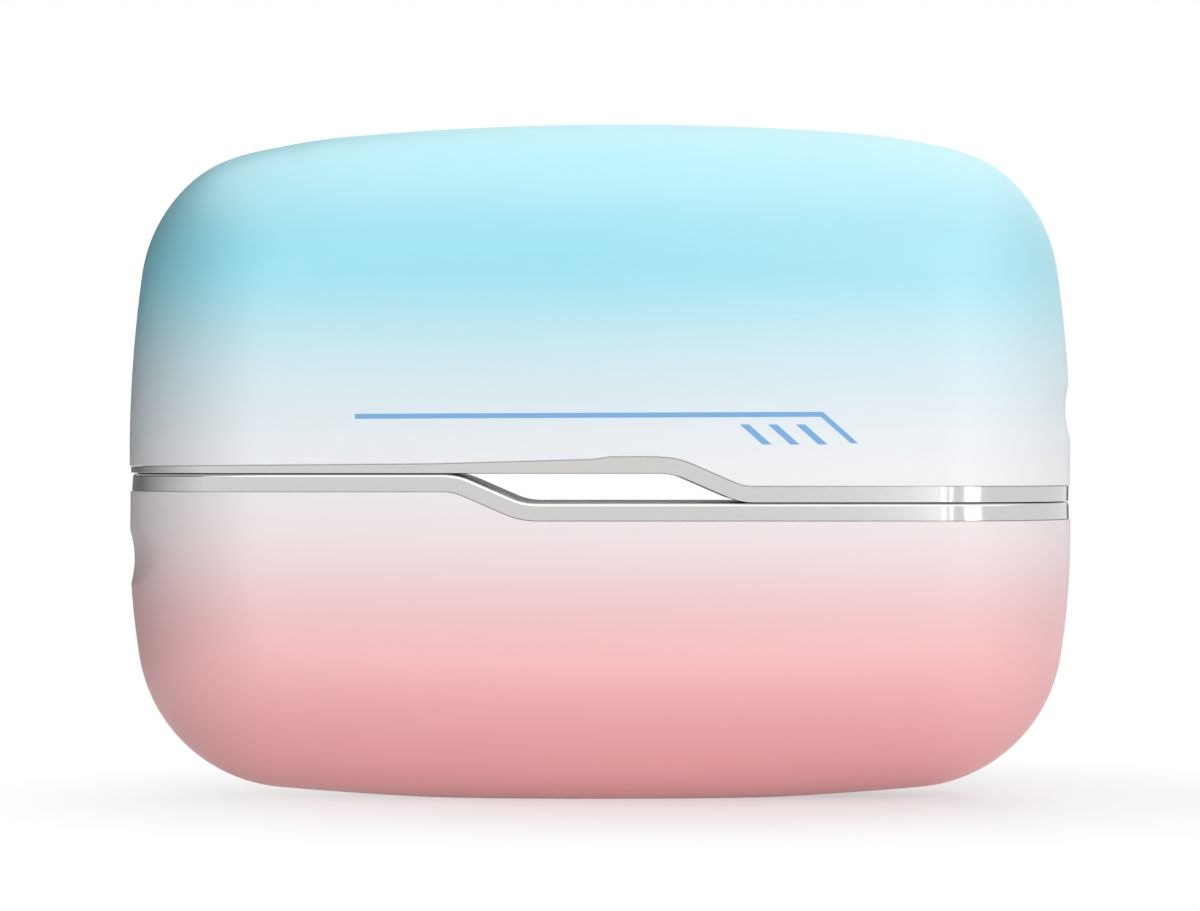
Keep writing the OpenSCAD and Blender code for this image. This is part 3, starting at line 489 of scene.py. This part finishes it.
def button_mesh(half):
    """A power button: a hub, a flange and a cap whose rounded face follows the thumb dish."""
    cap, flange = BUTTON_D / 2, HALF_W - FLANGE_IN
    stem = [(HUB_D / 2, flange - FLANGE_T - HUB_LEN), (HUB_D / 2, flange - FLANGE_T)]
    collar = [(FLANGE_D / 2, flange - FLANGE_T), (FLANGE_D / 2, flange), (cap, flange)]
    edge = [(cap - BUTTON_EDGE_R * i, HALF_W - BUTTON_EDGE_R * o) for i, o in rounding(BUTTON_ROUND_STEPS)]
    face = [(cap * k / BUTTON_RINGS, HALF_W) for k in range(BUTTON_RINGS - 1, 0, -1)]
    points, faces = lathe(stem + collar + edge + face, (0, 0, half.button_v), "x")
    top = points[:, 0] > HALF_W - 2 * BUTTON_EDGE_R
    level = points[top]
    level[:, 0] = HALF_W
    for _ in range(SETTLE):
        level[:, 0] -= dished(half, level)
    points[top, 0] += level[:, 0] - HALF_W
    return solid(f"{half.name}_soft_button", half, points, faces)


def stadium_bar(width, thick, start, end, steps=BAR_STEPS):
    """A bar along u with a full-round section, long side upright, about v = PORT_V."""
    turns = np.concatenate([np.linspace(0, math.pi, steps), np.linspace(math.pi, 2 * math.pi, steps)])
    lift = np.concatenate([np.full(steps, 1.0), np.full(steps, -1.0)]) * (width - thick) / 2
    y, v = thick / 2 * np.cos(turns), PORT_V + lift + thick / 2 * np.sin(turns)
    n = len(turns)
    points = np.concatenate([np.column_stack([np.full(n, u), y, v]) for u in (start, end)])
    return points, belt(0, n, n) + [tuple(range(n)), tuple(range(n, 2 * n))]


def block(low, high):
    corners = [(x, y, z) for z in (low[2], high[2]) for y in (low[1], high[1]) for x in (low[0], high[0])]
    faces = [(0, 1, 3, 2), (4, 6, 7, 5), (0, 4, 5, 1), (2, 3, 7, 6), (0, 2, 6, 4), (1, 5, 7, 3)]
    return np.array(corners, float), faces


def cut(obj, half, shapes):
    """Cuts the closed shapes, each points and faces in the half's frame, out of obj."""
    points, faces = [], []
    for p, f in shapes:
        start = sum(len(q) for q in points)
        points.append(p)
        faces += [tuple(start + i for i in face) for face in f]
    tool = solid("cutter", half, np.concatenate(points), faces)
    knife = obj.modifiers.new("cut", "BOOLEAN")
    knife.operation, knife.solver, knife.object = "DIFFERENCE", "EXACT", tool
    ready = obj.evaluated_get(bpy.context.evaluated_depsgraph_get())
    mesh = bpy.data.meshes.new_from_object(ready)
    obj.modifiers.clear()
    obj.data = mesh
    bpy.data.objects.remove(tool)


def flat_height(u):
    """Height of the parting where it runs flat."""
    return STEP_H / 2 if u < SLOPE_AT else -STEP_H / 2


def at_four(x, y):
    """The four places at x and y from the middle, on the parting."""
    return [(sx * x, sy * y, flat_height(sx * x)) for sx in (1, -1) for sy in (1, -1)]


def shell_cuts(half):
    """The holes for the button and the port, and for the lower shell all that would be below the floor."""
    hole_r = BUTTON_D / 2 + BUTTON_GAP
    ends = [(hole_r, HALF_W - 2 * WALL), (hole_r, HALF_W + OVER)]
    hole = lathe(ends, (0, 0, half.button_v), "x", HOLE_STEPS)
    port = stadium_bar(PORT_W + 2 * PORT_GAP, PORT_T + 2 * PORT_GAP, HALF_W - PORT_LEN, HALF_W + OVER)
    shapes = [hole, port]
    if half is LOWER:
        shapes.append(block((-HALF_W, -NOSE_R, LOWER_H), (HALF_W, NOSE_R, LOWER_H + OVER)))
    return shapes


def plate_cuts():
    """The holes with sunk heads for the screws, and the pockets for the magnets."""
    r, head = SCREW_D / 2 + FIT, SCREW_HEAD_D / 2 + FIT
    sunk = PLATE_FOOT + HEAD_SINK
    screw = [(head, PLATE_FOOT - OVER), (head, sunk), (r, sunk + HEAD_H), (r, PLATE_TOP + OVER)]
    pocket_r = MAGNET_D / 2 + FIT
    pocket = [(pocket_r, PLATE_TOP - POCKET_H), (pocket_r, PLATE_TOP + OVER)]
    return [lathe(screw, c, "z") for c in at_four(SCREW_X, SCREW_Y)] + [
        lathe(pocket, c, "z") for c in at_four(MAGNET_X, MAGNET_Y)
    ]


def read(items, key, width=1, kind=float):
    """One attribute of all items as an array, in rows if it is wider than 1."""
    values = np.empty(len(items) * width, kind)
    items.foreach_get(key, values)
    return values.reshape(-1, width) if width > 1 else values


def smooth(obj, half=None, insets=(), dish=False, angle=35):
    """Smooths by angle, and gives the faces that follow the body their exact normals."""
    mesh = obj.data
    mesh.set_sharp_from_angle(angle=math.radians(angle))
    if half is None:
        return
    normals = read(mesh.corner_normals, "vector", 3)
    points = half.take(read(mesh.vertices, "co", 3))
    vertex = read(mesh.loops, "vertex_index", kind=int)
    total = read(mesh.polygons, "loop_total", kind=int)
    face = half.turn(read(mesh.polygons, "normal", 3)).repeat(total, axis=0)
    normal, depth = outwards(half, points)
    if dish:
        low = raised(half, points)
        normal, depth = chosen(np.abs(low[1]) < ON_SURFACE, low, (normal, depth))
        sunk = slope(half, points), dished(half, points)
        normal, depth = chosen(by_dish(half, points), sunk, (normal, depth))
    for inset in insets:
        for way in (1, -1):
            ideal = way * normal[vertex]
            fits = (np.abs(depth[vertex] + inset) < ON_SURFACE) & ((face * ideal).sum(1) > SAME_WAY)
            normals = np.where(fits[:, None], half.turn(ideal), normals)
    mesh.normals_split_custom_set([tuple(n) for n in normals])


# Materials

MATERIALS = {}
# Noise lies mostly between these
NOISE_ENDS = 0.3, 0.7
# Share by which gloss varies, and depth of the bump in metres
PLAIN_GLOSS, PLAIN_DEEP = 0.1, 0.00002
BRUSH_SCALE, BRUSH_GLOSS, BRUSH_DEEP = 2600.0, 0.15, 0.00001
# The paint's clouds and how dark they get, its uneven gloss, and its grain
CLOUD_SCALE, CLOUD_DARK = 60.0, 0.985
PAINT_ROUGH, PAINT_IOR, GLOSS_SCALE, GLOSS_VARIES = 0.46, 2.06, 400.0, 0.03
PAINT_GRAIN, PAINT_BUMP, PAINT_DEEP = 5200.0, 0.12, 0.00001
WHITE = (1, 1, 1, 1)


def linear(colour):
    """A colour as it looks, 0 to 255, as Blender's linear numbers, by the sRGB curve."""
    shares = [c / 255 for c in colour]
    return tuple(c / 12.92 if c < 0.04045 else ((c + 0.055) / 1.055) ** 2.4 for c in shares) + (1.0,)


class Tree:
    """The nodes of a material or a world. A value is a number, a tuple of numbers or a socket."""

    def __init__(self, owner):
        owner.use_nodes = True
        self.nodes, self.links = owner.node_tree.nodes, owner.node_tree.links

    def feed(self, socket, value):
        if isinstance(value, bpy.types.NodeSocket):
            self.links.new(value, socket)
        else:
            socket.default_value = value

    def node(self, kind, *values, **inputs):
        """A node whose sockets are fed in their order, or by name."""
        n = self.nodes.new(kind)
        for socket, value in zip(n.inputs, values):
            self.feed(socket, value)
        for key, value in inputs.items():
            self.feed(n.inputs[key.replace("_", " ")], value)
        return n

    def ranged(self, value, low, high, to_low=0.0, to_high=1.0):
        return self.node("ShaderNodeMapRange", value, low, high, to_low, to_high).outputs[0]

    def maths(self, operation, *values):
        n = self.node("ShaderNodeMath", *values)
        n.operation = operation
        return n.outputs[0]

    def blend(self, share, first, second):
        """A mix of two shaders."""
        return self.node("ShaderNodeMixShader", share, first, second).outputs[0]

    def seen_by(self, *rays):
        """1 for a ray of any of the named kinds, else 0."""
        path = self.node("ShaderNodeLightPath").outputs
        value = path[rays[0]]
        for ray in rays[1:]:
            value = self.maths("MAXIMUM", value, path[ray])
        return value


class Finish(Tree):
    """A procedural material: a base colour with fine variation, and a bump."""

    def __init__(self, name, roughness, metallic=0.0):
        MATERIALS[name] = bpy.data.materials.new(name)
        super().__init__(MATERIALS[name])
        self.shader = self.nodes["Principled BSDF"]
        self.set("Roughness", roughness)
        self.set("Metallic", metallic)
        self.where = self.node("ShaderNodeTexCoord").outputs["Object"]

    def set(self, socket, value):
        self.feed(self.shader.inputs[socket], value)

    def stretched(self, scale):
        return self.node("ShaderNodeMapping", Vector=self.where, Scale=scale).outputs["Vector"]

    def noise(self, scale, detail=3.0, where=None):
        n = self.node("ShaderNodeTexNoise", Vector=where or self.where, Scale=scale, Detail=detail)
        return n.outputs[0]

    def mix(self, factor, a, b, mode="MIX"):
        n = self.node("ShaderNodeMix")
        n.data_type, n.blend_type = "RGBA", mode
        for socket, value in ((n.inputs["Factor"], factor), (n.inputs[6], a), (n.inputs[7], b)):
            self.feed(socket, value)
        return n.outputs[2]

    def bump(self, height, strength, distance):
        n = self.node("ShaderNodeBump", Height=height, Strength=strength, Distance=distance)
        self.set("Normal", n.outputs["Normal"])

    def vary_roughness(self, noise, low, high):
        self.set("Roughness", self.ranged(noise, *NOISE_ENDS, low, high))

    def vary_colour(self, noise, colour, spread):
        base = linear(colour)
        darker = tuple(c * (1 - spread) for c in base[:3]) + (1.0,)
        self.set("Base Color", self.mix(noise, darker, base))


def plain(name, colour, roughness, grain=900.0, spread=0.08, strength=0.15):
    """Moulded, pressed or painted stock: slightly varied colour, uneven gloss and a fine grain."""
    f = Finish(name, roughness)
    cloud = f.noise(grain / 6)
    f.vary_colour(cloud, colour, spread)
    f.vary_roughness(cloud, roughness * (1 - PLAIN_GLOSS), min(1.0, roughness * (1 + PLAIN_GLOSS)))
    f.bump(f.noise(grain), strength, PLAIN_DEEP)


def brushed(name, colour, roughness, along=(1, 1, 1), strength=0.05, spread=0.05):
    """Brushed or rolled metal, with fine lines along one way."""
    f = Finish(name, roughness, metallic=1.0)
    lines = f.noise(BRUSH_SCALE, 2.0, f.stretched(along))
    f.vary_colour(lines, colour, spread)
    f.vary_roughness(lines, roughness * (1 - BRUSH_GLOSS), roughness * (1 + BRUSH_GLOSS))
    f.bump(lines, strength, BRUSH_DEEP)


def paint(name, stops, low, high, fade=0.0):
    """Satin pearl paint with a very fine grain, whose colour changes with height from low to high.

    Towards the right end it fades to white, by the share fade: a painted sheen, which stands for the
    light of a softbox on the right mirrored in the paint.
    """
    f = Finish(name, PAINT_ROUGH)
    f.set("IOR", PAINT_IOR)
    place = f.node("ShaderNodeSeparateXYZ", f.where).outputs
    ramp = f.node("ShaderNodeValToRGB", f.ranged(place["Z"], low * MM, high * MM))
    ramp.color_ramp.interpolation = "B_SPLINE"
    items = ramp.color_ramp.elements
    for k, (z, colour) in enumerate(stops):
        item = items[k] if k < len(items) else items.new(1.0)
        item.position = (z - low) / (high - low)
        item.color = linear(colour)
    shaded = f.mix(f.noise(CLOUD_SCALE, 2.0), (CLOUD_DARK,) * 3 + (1,), WHITE)
    # Painted sheen: whiter towards the right end, standing for a softbox on the right mirrored in the
    # paint
    sheen_whitened = f.mix(f.ranged(place["X"], 0, HALF_W * MM, 0, fade), ramp.outputs[0], WHITE)
    f.set("Base Color", f.mix(1.0, sheen_whitened, shaded, "MULTIPLY"))
    f.vary_roughness(f.noise(GLOSS_SCALE), PAINT_ROUGH - GLOSS_VARIES, PAINT_ROUGH + GLOSS_VARIES)
    f.bump(f.noise(PAINT_GRAIN, 2.0), PAINT_BUMP, PAINT_DEEP)


# The paint's colours as they look, each at a height above the floor. Besides the two-tone paint they hold
# painted light: the upper half's lighter stops at the top are a painted sheen from the light above, and
# the lower half's lighter lowest stop is painted light thrown up by the floor.
UPPER_STOPS_WITH_TOP_SHEEN = [
    (36, (225, 226, 228)),
    (42, (205, 220, 226)),
    (48, (185, 218, 226)),
    (54, (135, 212, 228)),
    (60, (138, 206, 220)),
    (66, (180, 236, 248)),
    (72, (184, 245, 254)),
]
LOWER_STOPS_WITH_FLOOR_LIGHT = [
    (2, (235, 164, 166)),
    (8, (230, 156, 158)),
    (14, (236, 174, 176)),
    (20, (226, 180, 182)),
    (26, (228, 210, 212)),
    (32, (222, 222, 220)),
]

# The upper paint's fade to white is a painted sheen from a softbox on the right
paint("upper_paint", UPPER_STOPS_WITH_TOP_SHEEN, low=30.0, high=72.0, fade=0.11)
paint("lower_paint", LOWER_STOPS_WITH_FLOOR_LIGHT, low=0.0, high=36.0)
plain("print_blue", (118, 172, 220), 0.5)
brushed("trim_metal", (210, 209, 208), 0.12, (0.15, 0.15, 4))
plain("plate_plastic", (240, 240, 240), 0.07, strength=0.01)
brushed("magnet_nickel", (188, 186, 180), 0.22)
brushed("screw_steel", (120, 121, 124), 0.3)
plain("cradle_plastic", (214, 216, 218), 0.55)
plain("cell_wrap", (58, 110, 176), 0.32, spread=0.12)
plain("insulator_paper", (233, 228, 208), 0.85, grain=1500.0, spread=0.14, strength=0.4)
brushed("tab_nickel", (199, 196, 186), 0.28, (0.2, 0.2, 3))
plain("pad_foam", (62, 62, 66), 0.95, grain=2200.0, spread=0.4, strength=0.9)
plain("heater_film", (196, 122, 38), 0.28, grain=500.0, spread=0.2, strength=0.1)
plain("bead_epoxy", (26, 26, 27), 0.2)
plain("red_wire", (186, 26, 24), 0.42)
plain("black_wire", (24, 24, 25), 0.42)
plain("white_wire", (230, 230, 226), 0.42)
plain("grey_wire", (50, 50, 53), 0.42)
plain("board_laminate", (18, 88, 52), 0.35, grain=1800.0, spread=0.25)
plain("chip_black", (36, 36, 38), 0.5, grain=1500.0, strength=0.3)
brushed("port_steel", (190, 192, 196), 0.25, (4, 0.2, 0.2))
plain("tongue_plastic", (30, 30, 32), 0.45)
plain("switch_black", (48, 48, 50), 0.45)
plain("stem_plastic", (214, 76, 52), 0.45)
plain("button_plastic", (236, 238, 240), 0.38, strength=0.08)
plain("led_lens", (250, 246, 220), 0.12)

# CAD nodes by name without their half, and the material that each gets
NODE_FINISH = {
    "magnets": "magnet_nickel",
    "plate_screws": "screw_steel",
    "cell_cradle": "cradle_plastic",
    "battery_cell": "cell_wrap",
    "cell_insulator": "insulator_paper",
    "cell_tabs": "tab_nickel",
    "foam_pads": "pad_foam",
    "front_heater": "heater_film",
    "back_heater": "heater_film",
    "thermistor": "bead_epoxy",
    "red_lead": "red_wire",
    "black_lead": "black_wire",
    "heater_leads": "white_wire",
    "sensor_leads": "grey_wire",
    "control_board": "board_laminate",
    "board_parts": "chip_black",
    "usb_port": "port_steel",
    "usb_tongue": "tongue_plastic",
    "switch_body": "switch_black",
    "switch_stem": "stem_plastic",
    "status_led": "led_lens",
}


def wear(obj, key):
    """Gives an object its material."""
    obj.data.materials.clear()
    obj.data.materials.append(MATERIALS[key])


def add(obj, half, key, node, body="half"):
    """Sets a rebuilt piece in place of its CAD node."""
    wear(obj, key)
    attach(obj, f"{half.name}_{body}")
    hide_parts(f"{half.name}_{node}")


# The printed stripe and its three slashes, on the upper half's front face
STRIPE_W = 0.51
STRIPE_LEFT, STRIPE_RIGHT = (-25.14, 40.22), (22.75, 40.43)
TAIL_END = (26.1, 37.45)
SLASH_TOP, SLASH_FOOT = 39.39, 37.33
SLASHES, SLASH_X, SLASH_PITCH, SLASH_W, SLASH_RUN = 3, 14.34, 2.87, 0.94, 2.32
PRINT_OUT, PRINT_IN = 0.02, 0.01


def print_shapes():
    """Outlines of the stripe and the slashes, as X and Z."""
    w = STRIPE_W / 2
    run, fall = TAIL_END[0] - STRIPE_RIGHT[0], STRIPE_RIGHT[1] - TAIL_END[1]
    long = math.hypot(run, fall)
    # Mitre of the bend, and how far the tail's sides lie from its middle on the level foot
    turn = math.atan2(fall, run) / 2
    mitre = w * math.tan(turn)
    reach = w * long / fall
    (lx, lz), (rx, rz), (tx, tz) = STRIPE_LEFT, STRIPE_RIGHT, TAIL_END
    stripe = [
        (lx, lz + w),
        (rx + mitre, rz + w),
        (tx + reach, tz),
        (tx - reach, tz),
        (rx - mitre, rz - w),
        (lx, lz - w),
    ]
    slashes = []
    for k in range(SLASHES):
        left = SLASH_X + k * SLASH_PITCH
        top = [(x, SLASH_TOP) for x in (left, left + SLASH_W)]
        foot = [(x + SLASH_RUN, SLASH_FOOT) for x in (left + SLASH_W, left)]
        slashes.append(top + foot)
    return [stripe] + slashes


def print_mesh():
    """The print, which stands a hair out of the front face."""
    points, faces = [], []
    for shape in print_shapes():
        n, a = len(shape), len(points)
        for y in (-NOSE_R - PRINT_OUT, -NOSE_R + PRINT_IN):
            points += [(x, y, z - LOWER_H) for x, z in shape]
        faces += belt(a, a + n, n) + [tuple(range(a, a + n)), tuple(range(a + n, a + 2 * n))]
    return solid("front_stripe", UPPER, points, faces)


for half in HALVES:
    shell = shell_mesh(half)
    cut(shell, half, shell_cuts(half))
    smooth(shell, half, (0, WALL), dish=True)
    add(shell, half, f"{half.name}_paint", "shell")
    ring = ring_mesh(half)
    smooth(ring, half, (RING_INSET, RING_IN), angle=25)
    add(ring, half, "trim_metal", "trim_ring")
    plate = plate_mesh(half)
    cut(plate, half, plate_cuts())
    smooth(plate, half, (RING_IN + FIT,))
    add(plate, half, "plate_plastic", "mating_plate")
    button = button_mesh(half)
    smooth(button)
    add(button, half, "button_plastic", "power_button", "button")

stripe = print_mesh()
wear(stripe, "print_blue")
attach(stripe, "upper_half")

for name, obj in frame["nodes"].items():
    key = NODE_FINISH.get(name.split("_", 1)[1])
    if key:
        wear(obj, key)


# Camera and light

# The camera's distance and height and the picture's width at the object, in metres, and a sensor in mm
CAMERA_FAR, CAMERA_HIGH = 0.400, 0.0362
PICTURE_W = 0.12785
SENSOR = 36.0
# The world's level as a light; where it is seen or mirrored it is white
AMBIENT = 0.06
# Softboxes that the metal bands mirror, this far off and this tall: azimuth, height, width and level
STRIP_FAR, STRIP_TALL = 0.9, 0.24
STRIPS = {
    "near": (9.6, 0, 3.4, 1.8),
    "thin": (15.9, 0, 1.8, 1.8),
    "side": (33.2, 0, 12.5, 1.8),
    "top": (0, 59, 50, 0.8),
}
# Soft lamps: azimuth from the camera to its right, height, spread, level, and whether gloss shows them
LAMPS = {
    "front": (8, 10, 56, 0.825, False),
    "overhead": (10, 95, 90, 0.2, True),
    "right": (62, 32, 44, 0.11, True),
    "behind": (160, 32, 70, 0.58, False),
}


def camera():
    data = bpy.data.cameras.new("camera")
    data.sensor_width = SENSOR
    data.lens = SENSOR * CAMERA_FAR / PICTURE_W
    cam = bpy.data.objects.new("camera", data)
    cam.location = (0, -CAMERA_FAR, CAMERA_HIGH)
    cam.rotation_euler = (math.pi / 2, 0, 0)
    bpy.context.scene.collection.objects.link(cam)
    bpy.context.scene.camera = cam


def toward(azimuth, high=0):
    """Unit vector to a place round the object."""
    a, e = math.radians(azimuth), math.radians(high)
    return Vector((math.cos(e) * math.sin(a), -math.cos(e) * math.cos(a), math.sin(e)))


def lamp(name, kind, way, **values):
    """A lamp that shines from that way towards the object."""
    data = bpy.data.lights.new(name, kind)
    for key, value in values.items():
        setattr(data, key, value)
    obj = bpy.data.objects.new(name, data)
    obj.rotation_euler = way.to_track_quat("Z", "Y").to_euler()
    bpy.context.scene.collection.objects.link(obj)
    return obj


def soft_lamps():
    for name, (azimuth, high, spread, level, shown) in LAMPS.items():
        way, angle = toward(azimuth, high), math.radians(spread)
        lamp(name, "SUN", way, energy=level * math.pi, angle=angle).visible_glossy = shown


def softboxes():
    """Level 1 looks as bright as a lit white card."""
    for name, (azimuth, high, width, level) in STRIPS.items():
        wide = 2 * STRIP_FAR * math.tan(math.radians(width / 2))
        way = toward(azimuth, high)
        box = lamp(f"strip_{name}", "AREA", way, shape="RECTANGLE", size=wide, size_y=STRIP_TALL)
        box.data.energy = level * math.pi * wide * STRIP_TALL
        box.location = way * STRIP_FAR + Vector((0, 0, LOWER_H * MM))


FLOOR_HALF = 6.0
# Brightness of the table top in other pieces' light, and its diffuse, glowing and mirrored share as seen
FLOOR_WHITE = 0.86
FLOOR_SEEN, FLOOR_GLOW, FLOOR_GLOSS, GLOSS_ROUGH = 0.45, 0.62, 0.24, 0.2
# For gloss it darkens between these places to the left and these distances inwards, by this share:
# painted shade on the table top beside the left card, which only reflections show
FLOOR_LEFT, FLOOR_INSIDE, FLOOR_DARKER = (-0.07, -0.16), (0.26, 0.2), 0.8
# Shadow and mirror image fade out round the object, in metres across it and scaled along it
NEAR_FADE, NEAR_SHAPE, NEAR_X = (0.006, 0.062), 0.72, 0.01
SHOWN_RAYS = "Is Camera Ray", "Is Glossy Ray", "Is Transmission Ray"


def sheet(name, points, faces):
    mesh = bpy.data.meshes.new(name)
    mesh.from_pydata(points, [], faces)
    obj = bpy.data.objects.new(name, mesh)
    bpy.context.scene.collection.objects.link(obj)
    return obj


def bare_tree(obj, name):
    """A new material for an object of the stage, as a tree that has no nodes yet."""
    material = bpy.data.materials.new(name)
    obj.data.materials.append(material)
    tree = Tree(material)
    tree.nodes.clear()
    return tree


def floor():
    """A white table top: light bounces off it as off paper, and the camera sees it near to white."""
    h = FLOOR_HALF
    obj = sheet("floor", [(-h, -h, 0), (h, -h, 0), (h, h, 0), (-h, h, 0)], [(0, 1, 2, 3)])
    t = bare_tree(obj, "table_top")
    paper = t.node("ShaderNodeBsdfDiffuse", Color=(FLOOR_WHITE,) * 3 + (1,)).outputs[0]
    dull = t.node("ShaderNodeBsdfDiffuse", Color=(FLOOR_SEEN,) * 3 + (1,)).outputs[0]
    glow = t.node("ShaderNodeEmission", Strength=FLOOR_GLOW).outputs[0]
    lit = t.node("ShaderNodeAddShader", dull, glow).outputs[0]
    mirrored = t.node("ShaderNodeBsdfGlossy", Roughness=GLOSS_ROUGH).outputs[0]
    near_top = t.blend(FLOOR_GLOSS, lit, mirrored)
    where = t.node("ShaderNodeTexCoord").outputs["Object"]
    middle = (-NEAR_SHAPE * NEAR_X, 0, 0)
    shape = t.node("ShaderNodeMapping", Vector=where, Scale=(NEAR_SHAPE, 1, 1), Location=middle)
    length = t.node("ShaderNodeVectorMath", shape.outputs["Vector"])
    length.operation = "LENGTH"
    away = length.outputs["Value"]
    far = t.node("ShaderNodeMapRange", away, *NEAR_FADE)
    far.interpolation_type = "SMOOTHSTEP"
    # Far from the object it is white for the camera, and for gloss darker to the left inside the cards:
    # painted shade on the table top, which only reflections show
    beside = t.node("ShaderNodeSeparateXYZ", where).outputs["X"]
    dark = t.seen_by("Is Glossy Ray")
    for place, ends in ((beside, FLOOR_LEFT), (away, FLOOR_INSIDE)):
        dark = t.maths("MULTIPLY", dark, t.ranged(place, *ends))
    white = t.node("ShaderNodeEmission", Strength=t.maths("MULTIPLY_ADD", dark, -FLOOR_DARKER, 1.0))
    top = t.blend(far.outputs[0], near_top, white.outputs[0])
    t.node("ShaderNodeOutputMaterial", Surface=t.blend(t.seen_by(*SHOWN_RAYS), paper, top))


def world():
    w = bpy.data.worlds.new("studio")
    bpy.context.scene.world = w
    t = Tree(w)
    back = t.nodes["Background"].inputs
    t.feed(back["Color"], WHITE)
    t.feed(back["Strength"], t.ranged(t.seen_by(*SHOWN_RAYS), 0, 1, AMBIENT, 1.0))


CARD_FAR, CARD_PARTS = 0.32, 24
# From and to which azimuth the cards stand, and how high; and the height where they start
CARDS = {"left": (-55, -170, 0.38), "back": (-170, -215, 0.07)}
CARD_FOOT = 0.001
# Between these azimuths a card gets darker, down to this level
CARD_FADE, CARD_DARK = (-56, -125), 0.2
# Between these heights it gets darker upwards, by this factor
CARD_BAND, CARD_TOP = (0.07, 0.1), 0.25


def card(name, start, end, high):
    """A curved card that shades the object: for gloss white in front and dark behind, else black."""
    turns = np.linspace(start, end, CARD_PARTS + 1)
    points = [toward(a) * CARD_FAR + Vector((0, 0, z)) for z in (CARD_FOOT, high) for a in turns]
    n = CARD_PARTS + 1
    obj = sheet(f"{name}_card", points, [(k, k + 1, n + k + 1, n + k) for k in range(CARD_PARTS)])
    t = bare_tree(obj, "card_fade")
    place = t.node("ShaderNodeSeparateXYZ", t.node("ShaderNodeTexCoord").outputs["Object"]).outputs
    ends = [toward(a)[1] * CARD_FAR for a in CARD_FADE]
    level = t.ranged(place["Y"], *ends, 1, CARD_DARK)
    for factor in (t.ranged(place["Z"], *CARD_BAND, 1, CARD_TOP), t.seen_by("Is Glossy Ray")):
        level = t.maths("MULTIPLY", level, factor)
    glow = t.node("ShaderNodeEmission", Strength=level).outputs[0]
    t.node("ShaderNodeOutputMaterial", Surface=glow)
    obj.visible_camera = False


camera()
world()
floor()
for name, place in CARDS.items():
    card(name, *place)
soft_lamps()
softboxes()
bpy.context.scene.view_settings.view_transform = "Standard"
